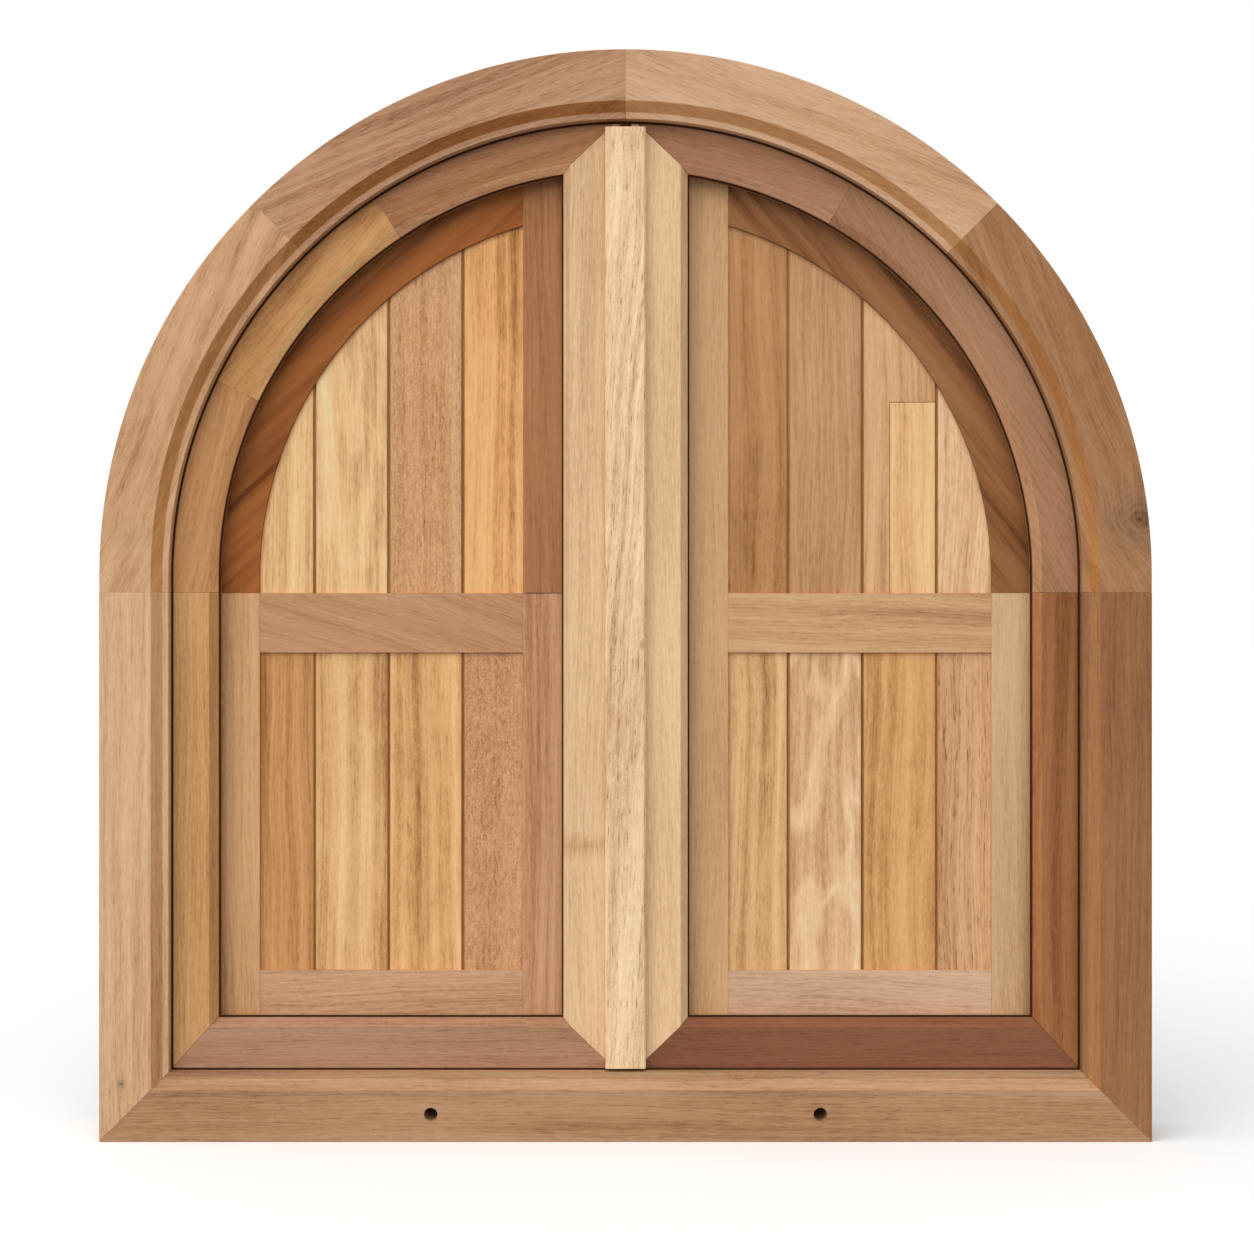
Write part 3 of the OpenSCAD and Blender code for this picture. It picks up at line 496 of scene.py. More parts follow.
class Graph:
    """A node tree with short calls for the nodes that the finishes use."""

    def __init__(self, tree):
        self.tree = tree

    def put(self, socket, value):
        """Links a socket to another one, or sets its value."""
        if isinstance(value, bpy.types.NodeSocket):
            self.tree.links.new(value, socket)
        else:
            socket.default_value = value

    def node(self, kind, **settings):
        """A new node with these settings."""
        made = self.tree.nodes.new(kind)
        for key, value in settings.items():
            setattr(made, key, value)
        return made

    def place(self):
        """Where a point is in its piece, in metres."""
        return self.node("ShaderNodeTexCoord").outputs["Object"]

    def math(self, operation, a, b=0.0):
        """One step of arithmetic."""
        made = self.node("ShaderNodeMath", operation=operation)
        self.put(made.inputs[0], a)
        self.put(made.inputs[1], b)
        return made.outputs[0]

    def vector(self, operation, a, b):
        """One step of arithmetic with vectors or colours."""
        made = self.node("ShaderNodeVectorMath", operation=operation)
        self.put(made.inputs[0], a)
        self.put(made.inputs[1], b)
        return made.outputs["Value" if operation == "DISTANCE" else "Vector"]

    def noise(self, place, pattern):
        """Noise of about -0.5 to 0.5 in this pattern."""
        made = self.node("ShaderNodeTexNoise")
        self.put(made.inputs["Vector"], self.vector("MULTIPLY", place, pattern.rates))
        self.put(made.inputs["Scale"], 1.0)
        self.put(made.inputs["Detail"], pattern.detail)
        self.put(made.inputs["Roughness"], pattern.roughness)
        self.put(made.inputs["Distortion"], pattern.twist)
        return self.math("SUBTRACT", made.outputs["Fac"], 0.5)

    def spread(self, value, low, high, to_low=0.0, to_high=1.0):
        """The value carried from one range to another and held at its ends."""
        made = self.node("ShaderNodeMapRange", clamp=True)
        for socket, number in zip(made.inputs[:5], (value, low, high, to_low, to_high)):
            self.put(socket, number)
        return made.outputs[0]

    def ramp(self, value, stops):
        """Colour at this value on a scale of places and colours."""
        made = self.node("ShaderNodeValToRGB")
        self.put(made.inputs[0], value)
        while len(made.color_ramp.elements) < len(stops):
            made.color_ramp.elements.new(1.0)
        for element, (place, colour) in zip(made.color_ramp.elements, stops):
            element.position = place
            element.color = (*colour, 1.0)
        return made.outputs["Color"]

    def bump(self, height, strength, depth):
        """Normal of a surface with this fine relief."""
        made = self.node("ShaderNodeBump")
        made.inputs["Strength"].default_value = strength
        made.inputs["Distance"].default_value = depth
        self.put(made.inputs["Height"], height)
        return made.outputs[0]


def new_material(name, colour):
    """A material, the graph of its nodes and its shader."""
    material = bpy.data.materials.new(name)
    material.use_nodes = True
    material.diffuse_color = (*colour, 1.0)
    return material, Graph(material.node_tree), material.node_tree.nodes["Principled BSDF"]


def shades(colour, scale):
    """The stops of a colour scale round this mean colour."""
    return [(place, [min(1.0, c * share) for c, share in zip(colour, shares)]) for place, shares in scale]


def along_grain(graph, place, grain, seed):
    """Coordinates along, into and across the grain, moved so that each length has its own figure."""
    turn = graph.node("ShaderNodeMapping", vector_type="POINT")
    graph.put(turn.inputs["Vector"], place)
    turn.inputs["Rotation"].default_value = (0.0, math.radians(grain), 0.0)
    turn.inputs["Location"].default_value = [step * seed for step in SEED_STEP]
    return turn.outputs["Vector"]


def height_of(graph, place):
    """Height of a place."""
    split = graph.node("ShaderNodeSeparateXYZ")
    graph.put(split.inputs[0], place)
    return split.outputs["Z"]


def drifted(graph, run, drift):
    """Coordinates of the grain, moved across it by a drift."""
    bend = graph.node("ShaderNodeCombineXYZ")
    graph.put(bend.inputs["Z"], drift)
    return graph.vector("ADD", run, bend.outputs[0])


def knot_pull(graph, place, knot):
    """How strongly a knot shows at a place, 1 at its heart, and the ragged distance from its heart."""
    squeezed = graph.vector("MULTIPLY", place, (1.0, KNOT_TAPER, 1.0))
    away = graph.vector("DISTANCE", squeezed, (knot.x, KNOT_TAPER * CAD_FACE, knot.z))
    rate = KNOT_RAGGED_RATE / knot.radius
    ragged = graph.noise(place, Noise((rate, rate, rate), 1.0))
    away = graph.math("ADD", away, graph.math("MULTIPLY", ragged, KNOT_RAGGED * knot.radius))
    near = graph.spread(away, 0.0, KNOT_REACH * knot.radius, 1.0, 0.0)
    return graph.math("POWER", near, KNOT_FADE), away


def knot_shade(graph, knot, pull, away):
    """How much darker a knot makes the tone, with rings round its heart."""
    heart = graph.spread(away, 0.0, HEART_REACH * knot.radius, HEART_DEPTH * knot.depth, 0.0)
    rings = graph.math("PINGPONG", graph.math("MULTIPLY", away, KNOT_RINGS / knot.radius), 1.0)
    rings = graph.math("MULTIPLY", graph.math("MULTIPLY", rings, pull), RINGS_DEPTH * knot.depth)
    return graph.math("ADD", heart, rings)


def knot_tint(graph, knot, pull):
    """Tint of a knot, greyer toward its heart."""
    dulled = [1.0 - knot.depth * share for share in KNOT_DULL]
    return graph.ramp(pull, ((0.0, WHOLE), (1.0, dulled)))


def splice_and_shade_tint(graph, height, above, splice_and_shade, mean):
    """Tint of the upper of two joined lengths, whose darker colour is partly painted shade, with a dark
    hairline at the joint.
    """
    upper = [u / m for u, m in zip(linear(splice_and_shade.colour), mean)]
    tint = graph.ramp(above, ((0.0, WHOLE), (1.0, upper)))
    away = graph.math("ABSOLUTE", graph.math("SUBTRACT", height, splice_and_shade.height))
    line = graph.spread(away, *SPLICE_LINE, *SPLICE_TONES)
    return graph.vector("MULTIPLY", tint, line)


def band_shade(graph, place, height, band):
    """How much darker a soft band across a length makes the tone."""
    away = graph.math("ABSOLUTE", graph.math("SUBTRACT", height, band.height))
    ragged = graph.math("MULTIPLY", graph.noise(place, BAND_EDGE), BAND_RAGGED * band.half)
    return graph.spread(graph.math("ADD", away, ragged), 0.0, band.half, band.depth, 0.0)


def ring_pattern(graph, run):
    """Growth rings, as the wavy contours of a slow noise."""
    rings = graph.math("MULTIPLY", graph.noise(run, RINGS), RING_TURNS)
    rings = graph.math("POWER", graph.math("PINGPONG", rings, 1.0), RING_POWER)
    return graph.math("SUBTRACT", rings, RING_MEAN)


def flame_pattern(graph, run):
    """Pale flames along the middle of a slow noise."""
    away = graph.math("ABSOLUTE", graph.noise(run, FLAMES))
    return graph.spread(away, 0.0, FLAME_WIDTH, *FLAME_TONES)


def figure_tone(graph, run, figure, fibre, contrast):
    """Tone of the timber's figure, about the middle of its scale."""
    parts = (
        (ring_pattern(graph, run), figure.rings * GAIN.rings),
        (graph.noise(run, RIBBON), figure.ribbon * GAIN.ribbon),
        (graph.noise(run, STREAK), figure.streak * GAIN.streak),
        (flame_pattern(graph, run), figure.waves * GAIN.waves),
        (graph.noise(run, FLECK), figure.fleck * GAIN.fleck),
        (graph.noise(run, SPECK), SPECK_GAIN * (1.0 + figure.fleck)),
        (graph.noise(run, SHADE), SHADE_GAIN),
        (fibre, FIBRE_GAIN),
    )
    tone = MIDDLE
    for pattern, strength in parts:
        if strength:
            tone = graph.math("ADD", tone, graph.math("MULTIPLY", pattern, strength * contrast))
    return tone


def timber_material(name, timber, seed, settings, node=None):
    """Oiled hardwood with growth rings, ribbon figure, streaks and open pores along its grain."""
    knot = KNOTS.get(node)
    splice_and_shade = SPLICES_AND_PAINTED_SHADE.get(node)
    band = BANDS.get(node)
    mean = linear(timber.colour)
    figure = FIGURES[timber.figure]
    material, graph, shader = new_material(name, mean)
    place = graph.place()
    height = height_of(graph, place)
    run = along_grain(graph, place, timber.grain, seed)
    drift = graph.math("MULTIPLY", graph.noise(run, DRIFT), WANDER)
    if knot:
        pull, away = knot_pull(graph, place, knot)
        drift = graph.math("ADD", drift, graph.math("MULTIPLY", pull, KNOT_BEND * knot.radius))
    if splice_and_shade:
        above = graph.math("GREATER_THAN", height, splice_and_shade.height)
        drift = graph.math("ADD", drift, graph.math("MULTIPLY", above, SPLICE_JUMP))
    run = drifted(graph, run, drift)

    fibre = graph.noise(run, FIBRE)
    pores = graph.spread(graph.noise(run, PORES), *PORE_LEVELS)
    tone = figure_tone(graph, run, figure, fibre, settings.contrast)
    tone = graph.math("SUBTRACT", tone, graph.math("MULTIPLY", pores, GAIN.pores * figure.pores))
    if knot:
        tone = graph.math("SUBTRACT", tone, knot_shade(graph, knot, pull, away))
    if band:
        tone = graph.math("SUBTRACT", tone, band_shade(graph, place, height, band))
    colour = graph.ramp(tone, shades(mean, TIMBER_SCALE))
    if knot:
        colour = graph.vector("MULTIPLY", colour, knot_tint(graph, knot, pull))
    if splice_and_shade:
        colour = graph.vector("MULTIPLY", colour, splice_and_shade_tint(graph, height, above, splice_and_shade, mean))

    graph.put(shader.inputs["Base Color"], colour)
    shader.inputs["Specular IOR Level"].default_value = settings.sheen
    roughness = [settings.gloss + swing for swing in TIMBER_SWING]
    graph.put(shader.inputs["Roughness"], graph.spread(fibre, *FIBRE_SPAN, *roughness))
    relief = graph.bump(graph.math("SUBTRACT", fibre, pores), TIMBER_BUMP, settings.relief)
    graph.put(shader.inputs["Normal"], relief)
    return material


def glass_material():
    """Clear float glass, nearly unseen from in front."""
    material, graph, shader = new_material("clear_glass", GLASS_COLOUR)
    shader.inputs["Base Color"].default_value = (*GLASS_COLOUR, 1.0)
    shader.inputs["IOR"].default_value = GLASS_IOR
    slant = graph.node("ShaderNodeLayerWeight").outputs["Facing"]
    graph.put(shader.inputs["Alpha"], graph.spread(slant, *GLASS_SLANT, *GLASS_SHOWS))
    haze = graph.noise(graph.place(), HAZE)
    graph.put(shader.inputs["Roughness"], graph.spread(haze, *CLOUD_SPAN, *GLASS_ROUGHNESS))
    return material


def metal_material(metal, colour):
    """Worked metal with cloudy tarnish and fine rubbed marks."""
    material, graph, shader = new_material(metal.name, colour)
    place = graph.place()
    cloud = graph.noise(place, TARNISH)
    rubbed = graph.noise(place, RUBBED)
    tone = graph.math("ADD", graph.math("MULTIPLY", cloud, TARNISH_GAIN), MIDDLE)
    tone = graph.math("ADD", tone, graph.math("MULTIPLY", rubbed, RUBBED_GAIN))
    graph.put(shader.inputs["Base Color"], graph.ramp(tone, shades(colour, METAL_SCALE)))
    shader.inputs["Metallic"].default_value = metal.metallic
    roughness = [metal.roughness + swing for swing in METAL_SWING]
    graph.put(shader.inputs["Roughness"], graph.spread(cloud, *CLOUD_SPAN, *roughness))
    relief = graph.bump(graph.math("ADD", rubbed, cloud), METAL_BUMP, METAL_RELIEF)
    graph.put(shader.inputs["Normal"], relief)
    return material


def seal_and_gap_shade_material(colour):
    """Dark rubber with a dusty, faintly mottled surface, also standing in for painted shade in the gaps where
    the seals show.
    """
    material, graph, shader = new_material("dark_rubber", colour)
    dust = graph.noise(graph.place(), DUST)
    graph.put(shader.inputs["Base Color"], graph.ramp(dust, shades(colour, SEAL_AND_GAP_SHADE_SCALE)))
    graph.put(shader.inputs["Roughness"], graph.spread(dust, *CLOUD_SPAN, *RUBBER_ROUGHNESS))
    shader.inputs["Specular IOR Level"].default_value = RUBBER_SHEEN
    return material


def soften(piece, width):
    """Joins the solid's faces, rounds its edges and shades its curves smoothly."""
    shading = piece.data.attributes.get("custom_normal")
    if shading:
        piece.data.attributes.remove(shading)
    piece.data.shade_smooth()
    weld = piece.modifiers.new("join", "WELD")
    weld.merge_threshold = WELD_GAP
    bevel = piece.modifiers.new("arris", "BEVEL")
    bevel.width = width
    bevel.segments = ARRIS_STEPS
    bevel.limit_method = "ANGLE"
    bevel.angle_limit = ARRIS_ANGLE
    bevel.harden_normals = True


def dress(node, materials, width):
    """Gives a solid its materials and softened edges."""
    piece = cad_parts[node]
    piece.data.materials.clear()
    for material in materials:
        piece.data.materials.append(material)
    soften(piece, width)
    return piece


def dress_timber(timbers, first_seed, settings):
    """Gives each length of a group its timber, and its chamfers a colour of painted light or shade where they
    have one.
    """
    for seed, (node, timber) in enumerate(timbers.items(), first_seed):
        materials = [timber_material(node + "_timber", timber, seed, settings, node)]
        if node in CHAMFER_PAINTED_LIGHT_AND_SHADE:
            chamfer = timber._replace(colour=CHAMFER_PAINTED_LIGHT_AND_SHADE[node])
            materials.append(timber_material(node + "_chamfer_painted_light_timber", chamfer, seed, settings, node))
        piece = dress(node, materials, settings.edge)
        for face in piece.data.polygons:
            # Chamfer faces take the colour of painted light or shade
            takes_painted_light = node in CHAMFER_PAINTED_LIGHT_AND_SHADE and SLANTED < -face.normal.y < FLAT
            face.material_index = 1 if takes_painted_light else 0


def board_at(node, centre, settings):
    """Number of the board that holds a point, counted from the meeting stile; the repair piece comes last."""
    low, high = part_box(node)
    count = len(BOARD_TIMBER[node])
    middle = abs(low.x + high.x) / 2 + settings.board_shift
    across = abs(centre.x) - middle
    number = math.floor(across / settings.board) + count // 2
    number = min(count - 1, max(0, number))
    repaired = node == REPAIRED_PANEL and number == REPAIRED_BOARD and centre.z < settings.repair_top
    if repaired and across > settings.board - settings.repair_width:
        return count
    return number


def dress_boards(node, timbers, first_seed, settings):
    """Gives each board of a panel its own timber, and its edges a darker colour of painted shade in the
    joints.
    """
    lengths = list(timbers)
    if node == REPAIRED_PANEL:
        lengths.append(REPAIR_PIECE)
    lengths.append(JOINT_PAINTED_SHADE)
    materials = [
        timber_material("%s_%d_timber" % (node, i + 1), timber, first_seed + i, settings)
        for i, timber in enumerate(lengths)
    ]
    piece = dress(node, materials, settings.edge)
    for face in piece.data.polygons:
        flat = abs(face.normal.y) > FLAT
        # Faces that are not flat, the edges in the joints, take the painted shade
        face.material_index = board_at(node, face.center, settings) if flat else len(lengths) - 1


def add_piece(name, mesh, material, body):
    """Makes a mesh into a piece that rides on a body."""
    data = bpy.data.meshes.new(name)
    mesh.to_mesh(data)
    mesh.free()
    data.materials.append(material)
    piece = bpy.data.objects.new(name, data)
    bpy.context.scene.collection.objects.link(piece)
    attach(piece, body)


def add_turned(mesh, part, place, turn):
    """Adds a part made along +Z to a mesh, turned to stand along +Y at a place."""
    upright = Matrix.Rotation(math.radians(-90.0), 4, "X")
    stand = Matrix.Translation(place) @ upright @ Matrix.Rotation(turn, 4, "Z")
    bmesh.ops.transform(part, matrix=stand, verts=part.verts)
    loose = bpy.data.meshes.new("part")
    part.to_mesh(loose)
    part.free()
    mesh.from_mesh(loose)
    bpy.data.meshes.remove(loose)


def cut_away(mesh, place, normal):
    """Cuts off what lies beyond a plane, on the side that its normal points to."""
    whole = mesh.verts[:] + mesh.edges[:] + mesh.faces[:]
    bmesh.ops.bisect_plane(mesh, geom=whole, plane_co=place, plane_no=normal, clear_outer=True)


def slotted_head(mesh, place, radius, turn):
    """Adds a low domed screw head with a slot, standing on a face toward the room."""
    for side in (-1, 1):
        half = bmesh.new()
        bmesh.ops.create_uvsphere(half, u_segments=HEAD_SIDES, v_segments=HEAD_RINGS, radius=radius)
        cut_away(half, (0, 0, 0), (0, 0, -1))
        cut_away(half, (side * SLOT_HALF * radius, 0, 0), (-side, 0, 0))
        bmesh.ops.holes_fill(half, edges=[e for e in half.edges if e.is_boundary], sides=0)
        bmesh.ops.scale(half, vec=(1.0, 1.0, HEAD_HEIGHT), verts=half.verts)
        add_turned(mesh, half, place, turn)
    floor = bmesh.new()
    wide = SLOT_FLOOR_RADIUS * radius
    high = SLOT_FLOOR_HEIGHT * radius
    bmesh.ops.create_cone(floor, cap_ends=True, segments=HEAD_SIDES, radius1=wide, radius2=wide, depth=high)
    bmesh.ops.translate(floor, vec=(0, 0, high / 2), verts=floor.verts)
    add_turned(mesh, floor, place, turn)


def screw_set(name, body, places, radius, material):
    """One piece that holds a body's screw heads."""
    mesh = bmesh.new()
    for i, place in enumerate(places):
        slotted_head(mesh, place, radius, math.radians(FIRST_TURN + NEXT_TURN * i))
    add_piece(name, mesh, material, body)


def plate_screws(node, plate, edges):
    """Places of the screws in a fitting's lower and upper plates, along its left (-1) or right (1) edges."""
    low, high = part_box(node)
    gap = (plate.height - 2 * plate.end) / (plate.screws - 1)
    steps = [plate.end + gap * i for i in range(plate.screws)]
    heights = [foot + step for foot in (low.z, high.z - plate.height) for step in steps]
    across = {-1: low.x + plate.edge, 1: high.x - plate.edge}
    return [Vector((across[edge], low.y + plate.thickness, z)) for edge in edges for z in heights]


def corner_screws(node, inset):
    """Places of the screws near the corners of a case, on its face toward the room."""
    low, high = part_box(node)
    heights = (low.z + inset, high.z - inset)
    return [Vector((x, high.y, z)) for x in (low.x + inset, high.x - inset) for z in heights]


def arc(radius, height, start, end):
    """Points of an arc about the middle of the window, from one angle to another."""
    turns = [start + (end - start) * i / ARC_STEPS for i in range(ARC_STEPS + 1)]
    return [(radius * math.cos(turn), height + radius * math.sin(turn)) for turn in turns]


def frame_loop(settings, half):
    """Outline of the frame's opening at this distance from the middle."""
    foot = settings.foot + settings.lip_edge - half
    return [(-half, foot), *arc(half, settings.arch, math.pi, 0.0), (half, foot)]


def sash_loop(settings, sign, step):
    """Outline of a sash's opening, widened by this step."""
    radius, near, foot = (size + grow for size, grow in zip(settings.sight, (step, -step, -step)))
    outline = [(near, foot), (radius, foot), *arc(radius, settings.arch, 0.0, math.acos(near / radius))]
    return [(sign * x, z) for x, z in outline]


def seal_and_gap_shade_ring(name, body, loops, depth, thickness, material):
    """A flat seal between two outlines, at a depth behind the face of the frame; its dark edge also stands in
    for painted shade in the gap.
    """
    mesh = bmesh.new()
    layers = (CAD_FACE + depth, CAD_FACE + depth + thickness)
    rings = [[mesh.verts.new((x, y, z)) for x, z in loop] for y in layers for loop in loops]
    outer_front, inner_front, outer_back, inner_back = rings
    section = (outer_front, inner_front, inner_back, outer_back, outer_front)
    around = len(outer_front)
    for a, b in zip(section, section[1:]):
        for i in range(around):
            j = (i + 1) % around
            mesh.faces.new((a[i], a[j], b[j], b[i]))
    bmesh.ops.recalc_face_normals(mesh, faces=mesh.faces)
    add_piece(name, mesh, material, body)


def seen_directly(graph):
    """1 for what the camera sees, also by reflection or through glass, and 0 for what only gives light."""
    rays = graph.node("ShaderNodeLightPath")
    seen = graph.math("MAXIMUM", rays.outputs["Is Camera Ray"], rays.outputs["Is Transmission Ray"])
    return graph.math("MAXIMUM", seen, rays.outputs["Is Glossy Ray"])


class ARCHED_WINDOW_OT_finish_frame(bpy.types.Operator):
    """Finish the sill, jambs and arch pieces of the frame"""

    bl_idname = "arched_window.finish_frame"
    bl_label = "Finish Frame"

    def execute(self, context):
        dress_timber(FRAME_TIMBER, FRAME_SEED, context.scene.arched_window_timber)
        return {"FINISHED"}


class ARCHED_WINDOW_OT_finish_sashes(bpy.types.Operator):
    """Finish the stiles, rails and arch pieces of both sashes"""

    bl_idname = "arched_window.finish_sashes"
    bl_label = "Finish Sashes"

    def execute(self, context):
        dress_timber(SASH_TIMBER, SASH_SEED, context.scene.arched_window_timber)
        return {"FINISHED"}


class ARCHED_WINDOW_OT_finish_cover_strips(bpy.types.Operator):
    """Finish the strips that cover the joint between the sashes"""

    bl_idname = "arched_window.finish_cover_strips"
    bl_label = "Finish Cover Strips"

    def execute(self, context):
        dress_timber(STRIP_TIMBER, STRIP_SEED, context.scene.arched_window_timber)
        return {"FINISHED"}


class ARCHED_WINDOW_OT_finish_glazing(bpy.types.Operator):
    """Finish the panes and the beads that hold them"""

    bl_idname = "arched_window.finish_glazing"
    bl_label = "Finish Glazing"

    def execute(self, context):
        dress_timber(BEAD_TIMBER, BEAD_SEED, context.scene.arched_window_timber)
        glass = glass_material()
        for side in SIDES:
            dress(side + "_glass", [glass], context.scene.arched_window_metal.edge)
        return {"FINISHED"}


class ARCHED_WINDOW_OT_finish_shutter_frames(bpy.types.Operator):
    """Finish the stiles, rails and arch pieces of both shutters"""

    bl_idname = "arched_window.finish_shutter_frames"
    bl_label = "Finish Shutter Frames"

    def execute(self, context):
        dress_timber(SHUTTER_TIMBER, SHUTTER_SEED, context.scene.arched_window_timber)
        return {"FINISHED"}


class ARCHED_WINDOW_OT_finish_boards(bpy.types.Operator):
    """Finish the boards of the shutter panels, each in its own timber"""

    bl_idname = "arched_window.finish_boards"
    bl_label = "Finish Boards"

    def execute(self, context):
        settings = context.scene.arched_window_timber
        for i, (node, timbers) in enumerate(BOARD_TIMBER.items()):
            dress_boards(node, timbers, BOARD_SEED + PANEL_SEED_STEP * i, settings)
        return {"FINISHED"}


class ARCHED_WINDOW_OT_finish_hinges(bpy.types.Operator):
    """Finish the leaves and pins of all hinges"""

    bl_idname = "arched_window.finish_hinges"
    bl_label = "Finish Hinges"

    def execute(self, context):
        settings = context.scene.arched_window_metal
        steel = metal_material(HINGE_STEEL, tuple(settings.iron))
        for node in HINGE_NODES:
            dress(node, [steel], settings.edge)
        return {"FINISHED"}


class ARCHED_WINDOW_OT_finish_bolt(bpy.types.Operator):
    """Finish the case, handle, rods, guides and keeps of the bolt"""

    bl_idname = "arched_window.finish_bolt"
    bl_label = "Finish Bolt"

    def execute(self, context):
        settings = context.scene.arched_window_metal
        brass = metal_material(BOLT_BRASS, tuple(settings.brass))
        for node in BOLT_NODES:
            dress(node, [brass], settings.edge)
        return {"FINISHED"}


class ARCHED_WINDOW_OT_finish_shutter_fittings(bpy.types.Operator):
    """Finish the turn buttons, their screws and the pulls of the shutters"""

    bl_idname = "arched_window.finish_shutter_fittings"
    bl_label = "Finish Shutter Fittings"

    def execute(self, context):
        settings = context.scene.arched_window_metal
        brass = metal_material(FITTING_BRASS, tuple(settings.brass))
        for node in FITTING_NODES:
            dress(node, [brass], settings.edge)
        return {"FINISHED"}


class ARCHED_WINDOW_OT_add_screws(bpy.types.Operator):
    """Add the screw heads of the hinges and the bolt"""

    bl_idname = "arched_window.add_screws"
    bl_label = "Add Screws"

    def execute(self, context):
        settings = context.scene.arched_window_metal
        self.add_hinge_screws(settings.screw, metal_material(SCREW_STEEL, tuple(settings.iron)))
        self.add_bolt_screws(BOLT_SCREW * settings.screw, metal_material(SCREW_BRASS, tuple(settings.brass)))
        return {"FINISHED"}

    def add_hinge_screws(self, radius, steel):
        on_frame = plate_screws("frame_hinge_leaves", SASH_LEAF, (-1, 1))
        screw_set("frame_hinge_screws", "frame", on_frame, radius, steel)
        for side, sign in SIDES.items():
            sash = side + "_sash"
            shutter = side + "_shutter"
            on_sash = plate_screws(sash + "_hinge_leaves", SASH_LEAF, (-sign,))
            on_sash += plate_screws(shutter + "_hinge_seats", SHUTTER_LEAF, (sign,))
            screw_set(sash + "_hinge_screws", sash, on_sash, radius, steel)
            on_shutter = plate_screws(shutter + "_hinge_leaves", SHUTTER_LEAF, (-sign,))
            screw_set(shutter + "_hinge_screws", shutter, on_shutter, radius, steel)

    def add_bolt_screws(self, radius, brass):
        on_sash = plate_screws("bolt_guides", BOLT_PLATE, (-1, 1)) + corner_screws("bolt_case", CASE_INSET)
        screw_set("bolt_screws", "left_sash", on_sash, radius, brass)
        on_frame = plate_screws("bolt_keeps", BOLT_PLATE, (-1, 1))
        screw_set("keep_screws", "frame", on_frame, radius, brass)


class ARCHED_WINDOW_OT_add_seals(bpy.types.Operator):
    """Add the dark seals between frame and sashes and round the glass, which also stand in for painted shade
    in these gaps
    """

    bl_idname = "arched_window.add_seals"
    bl_label = "Add Seals"

    def execute(self, context):
        settings = context.scene.arched_window_seals
        # The dark rubber of the seals also stands in for painted shade in the gaps
        rubber = seal_and_gap_shade_material(tuple(settings.colour))
        thickness = settings.thickness
        edges = (SEAL_COVERED * settings.width, -settings.width)
        loops = [frame_loop(settings, settings.lip_edge + step) for step in edges]
        seal_and_gap_shade_ring("frame_seal_and_gap_shade", "frame", loops, settings.stop_depth, thickness, rubber)
        for side, sign in SIDES.items():
            loops = [sash_loop(settings, sign, step) for step in (0.0, -settings.width)]
            seal_and_gap_shade_ring(side + "_glass_seal_and_gap_shade", side + "_sash", loops, settings.glass_depth, thickness, rubber)
        return {"FINISHED"}


class ARCHED_WINDOW_OT_set_stage(bpy.types.Operator):
    """Set the floor, the soft light, the white surround and the camera"""

    bl_idname = "arched_window.set_stage"
    bl_label = "Set Stage"

    def execute(self, context):
        settings = context.scene.arched_window_stage
        self.add_floor(context.scene, settings)
        self.add_light(context.scene, settings)
        self.set_surround(context.scene, settings)
        self.add_camera(context.scene, settings)
        return {"FINISHED"}

    def add_floor(self, scene, settings):
        mesh = bpy.data.meshes.new("floor")
        corners = [(x * FLOOR_HALF, y * FLOOR_HALF, 0) for x, y in ((-1, -1), (1, -1), (1, 1), (-1, 1))]
        mesh.from_pydata(corners, [], [(0, 1, 2, 3)])
        floor = bpy.data.objects.new("floor", mesh)
        floor.location.z = CAD_BOX[0].z - FLOOR_GAP
        scene.collection.objects.link(floor)
        material, graph, shader = new_material("pale_floor", (settings.floor,) * 3)
        tone = graph.spread(seen_directly(graph), 0.0, 1.0, settings.bounce, settings.floor)
        graph.put(shader.inputs["Base Color"], tone)
        shader.inputs["Specular IOR Level"].default_value = 0.0
        shader.inputs["Roughness"].default_value = FLOOR_ROUGHNESS
        mesh.materials.append(material)

    def add_light(self, scene, settings):
        lamp = bpy.data.lights.new("key", "SUN")
        lamp.energy = settings.key
        lamp.angle = settings.softness
        key = bpy.data.objects.new("key", lamp)
        key.rotation_euler = Vector(settings.toward).to_track_quat("Z", "Y").to_euler()
        scene.collection.objects.link(key)

    def set_surround(self, scene, settings):
        world = bpy.data.worlds.new("studio")
        world.use_nodes = True
        scene.world = world
        graph = Graph(world.node_tree)
        back = world.node_tree.nodes["Background"]
        back.inputs["Color"].default_value = (1.0, 1.0, 1.0, 1.0)
        strength = graph.spread(seen_directly(graph), 0.0, 1.0, settings.sky, 1.0)
        graph.put(back.inputs["Strength"], strength)
        scene.view_settings.view_transform = "Standard"

    def add_camera(self, scene, settings):
        lens = bpy.data.cameras.new("camera")
        lens.sensor_fit = "HORIZONTAL"
        lens.sensor_width = SENSOR_WIDTH
        lens.lens = SENSOR_WIDTH * settings.distance / settings.view_width
        camera = bpy.data.objects.new("camera", lens)
        camera.location = (settings.eye[0], CAD_FACE - settings.distance, settings.eye[1])
        camera.rotation_euler = (math.radians(90.0), 0.0, 0.0)
        scene.collection.objects.link(camera)
        scene.camera = camera


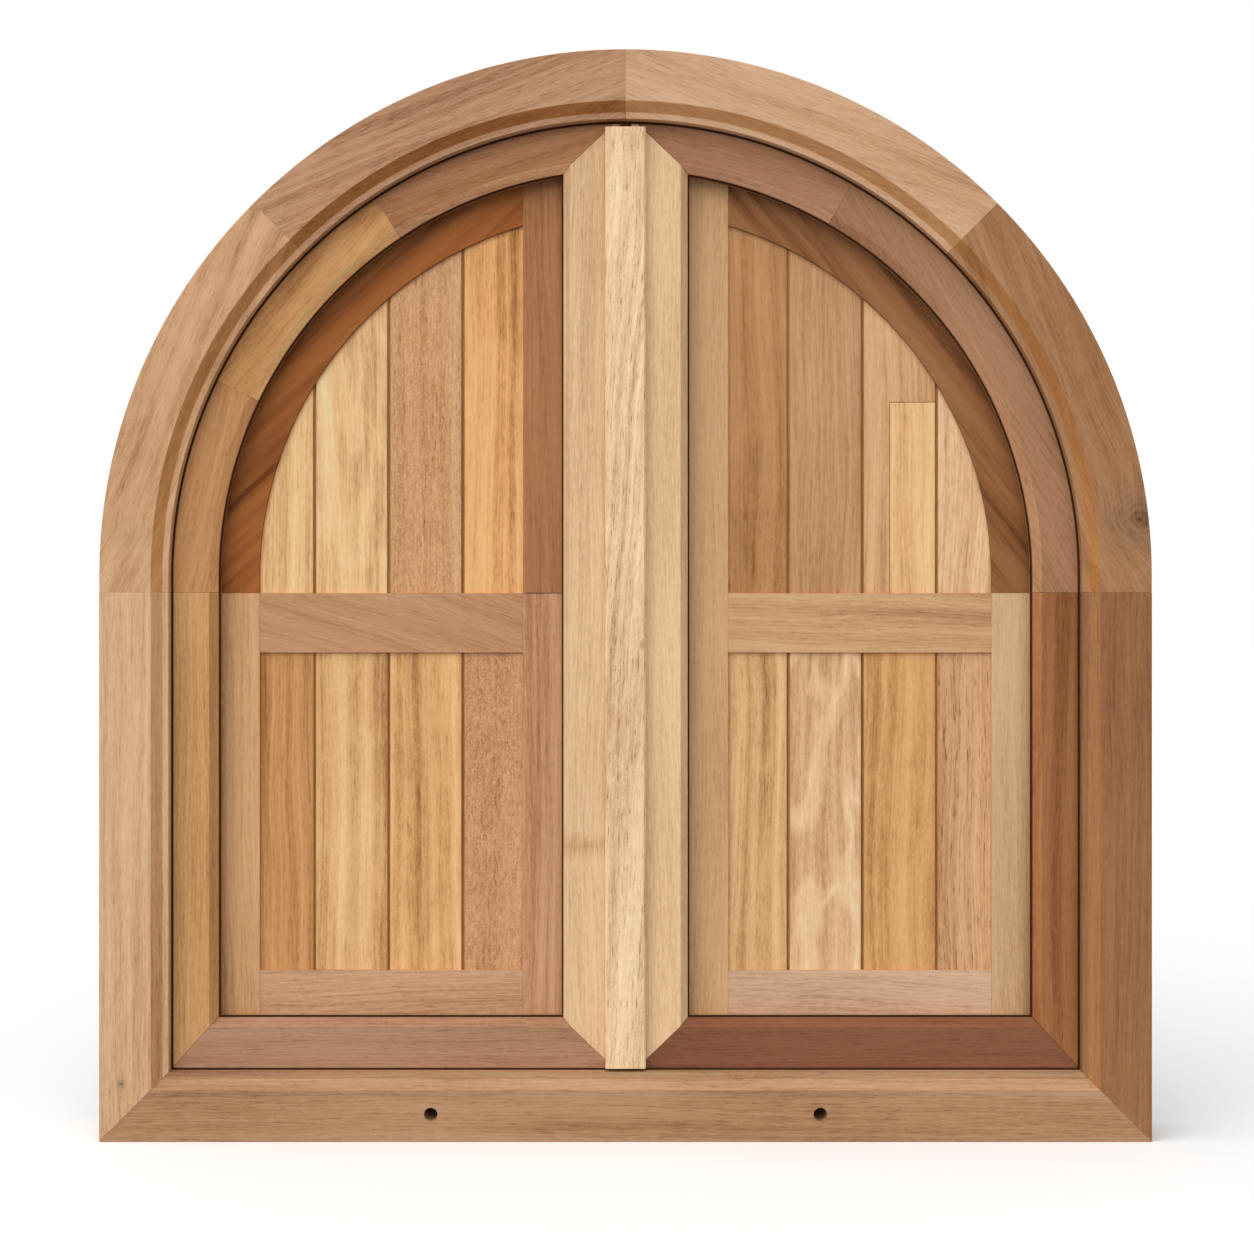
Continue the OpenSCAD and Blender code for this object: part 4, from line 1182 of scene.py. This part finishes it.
class ARCHED_WINDOW_PT_steps(bpy.types.Panel):
    """Steps that finish the window"""

    bl_idname = "ARCHED_WINDOW_PT_steps"
    bl_label = "Arched Window"
    bl_space_type = "VIEW_3D"
    bl_region_type = "UI"
    bl_category = "Window"

    def draw(self, context):
        column = self.layout.column(align=True)
        for step in STEPS:
            column.operator(step.bl_idname)
        for group in GROUPS:
            settings = getattr(context.scene, group)
            box = self.layout.box()
            for name in settings.__annotations__:
                box.prop(settings, name)


STEPS = (
    ARCHED_WINDOW_OT_finish_frame,
    ARCHED_WINDOW_OT_finish_sashes,
    ARCHED_WINDOW_OT_finish_cover_strips,
    ARCHED_WINDOW_OT_finish_glazing,
    ARCHED_WINDOW_OT_finish_shutter_frames,
    ARCHED_WINDOW_OT_finish_boards,
    ARCHED_WINDOW_OT_finish_hinges,
    ARCHED_WINDOW_OT_finish_bolt,
    ARCHED_WINDOW_OT_finish_shutter_fittings,
    ARCHED_WINDOW_OT_add_screws,
    ARCHED_WINDOW_OT_add_seals,
    ARCHED_WINDOW_OT_set_stage,
)
GROUPS = {
    "arched_window_timber": ArchedWindowTimber,
    "arched_window_metal": ArchedWindowMetal,
    "arched_window_seals": ArchedWindowSealsAndGapShade,
    "arched_window_stage": ArchedWindowStage,
}
CLASSES = (*GROUPS.values(), *STEPS, ARCHED_WINDOW_PT_steps)


def register():
    for item in CLASSES:
        bpy.utils.register_class(item)
    for name, group in GROUPS.items():
        setattr(bpy.types.Scene, name, PointerProperty(type=group))


def unregister():
    for name in GROUPS:
        delattr(bpy.types.Scene, name)
    for item in reversed(CLASSES):
        bpy.utils.unregister_class(item)


def main():
    register()
    bpy.ops.arched_window.finish_frame()
    bpy.ops.arched_window.finish_sashes()
    bpy.ops.arched_window.finish_cover_strips()
    bpy.ops.arched_window.finish_glazing()
    bpy.ops.arched_window.finish_shutter_frames()
    bpy.ops.arched_window.finish_boards()
    bpy.ops.arched_window.finish_hinges()
    bpy.ops.arched_window.finish_bolt()
    bpy.ops.arched_window.finish_shutter_fittings()
    bpy.ops.arched_window.add_screws()
    bpy.ops.arched_window.add_seals()
    bpy.ops.arched_window.set_stage()


if __name__ == "__main__":
    main()
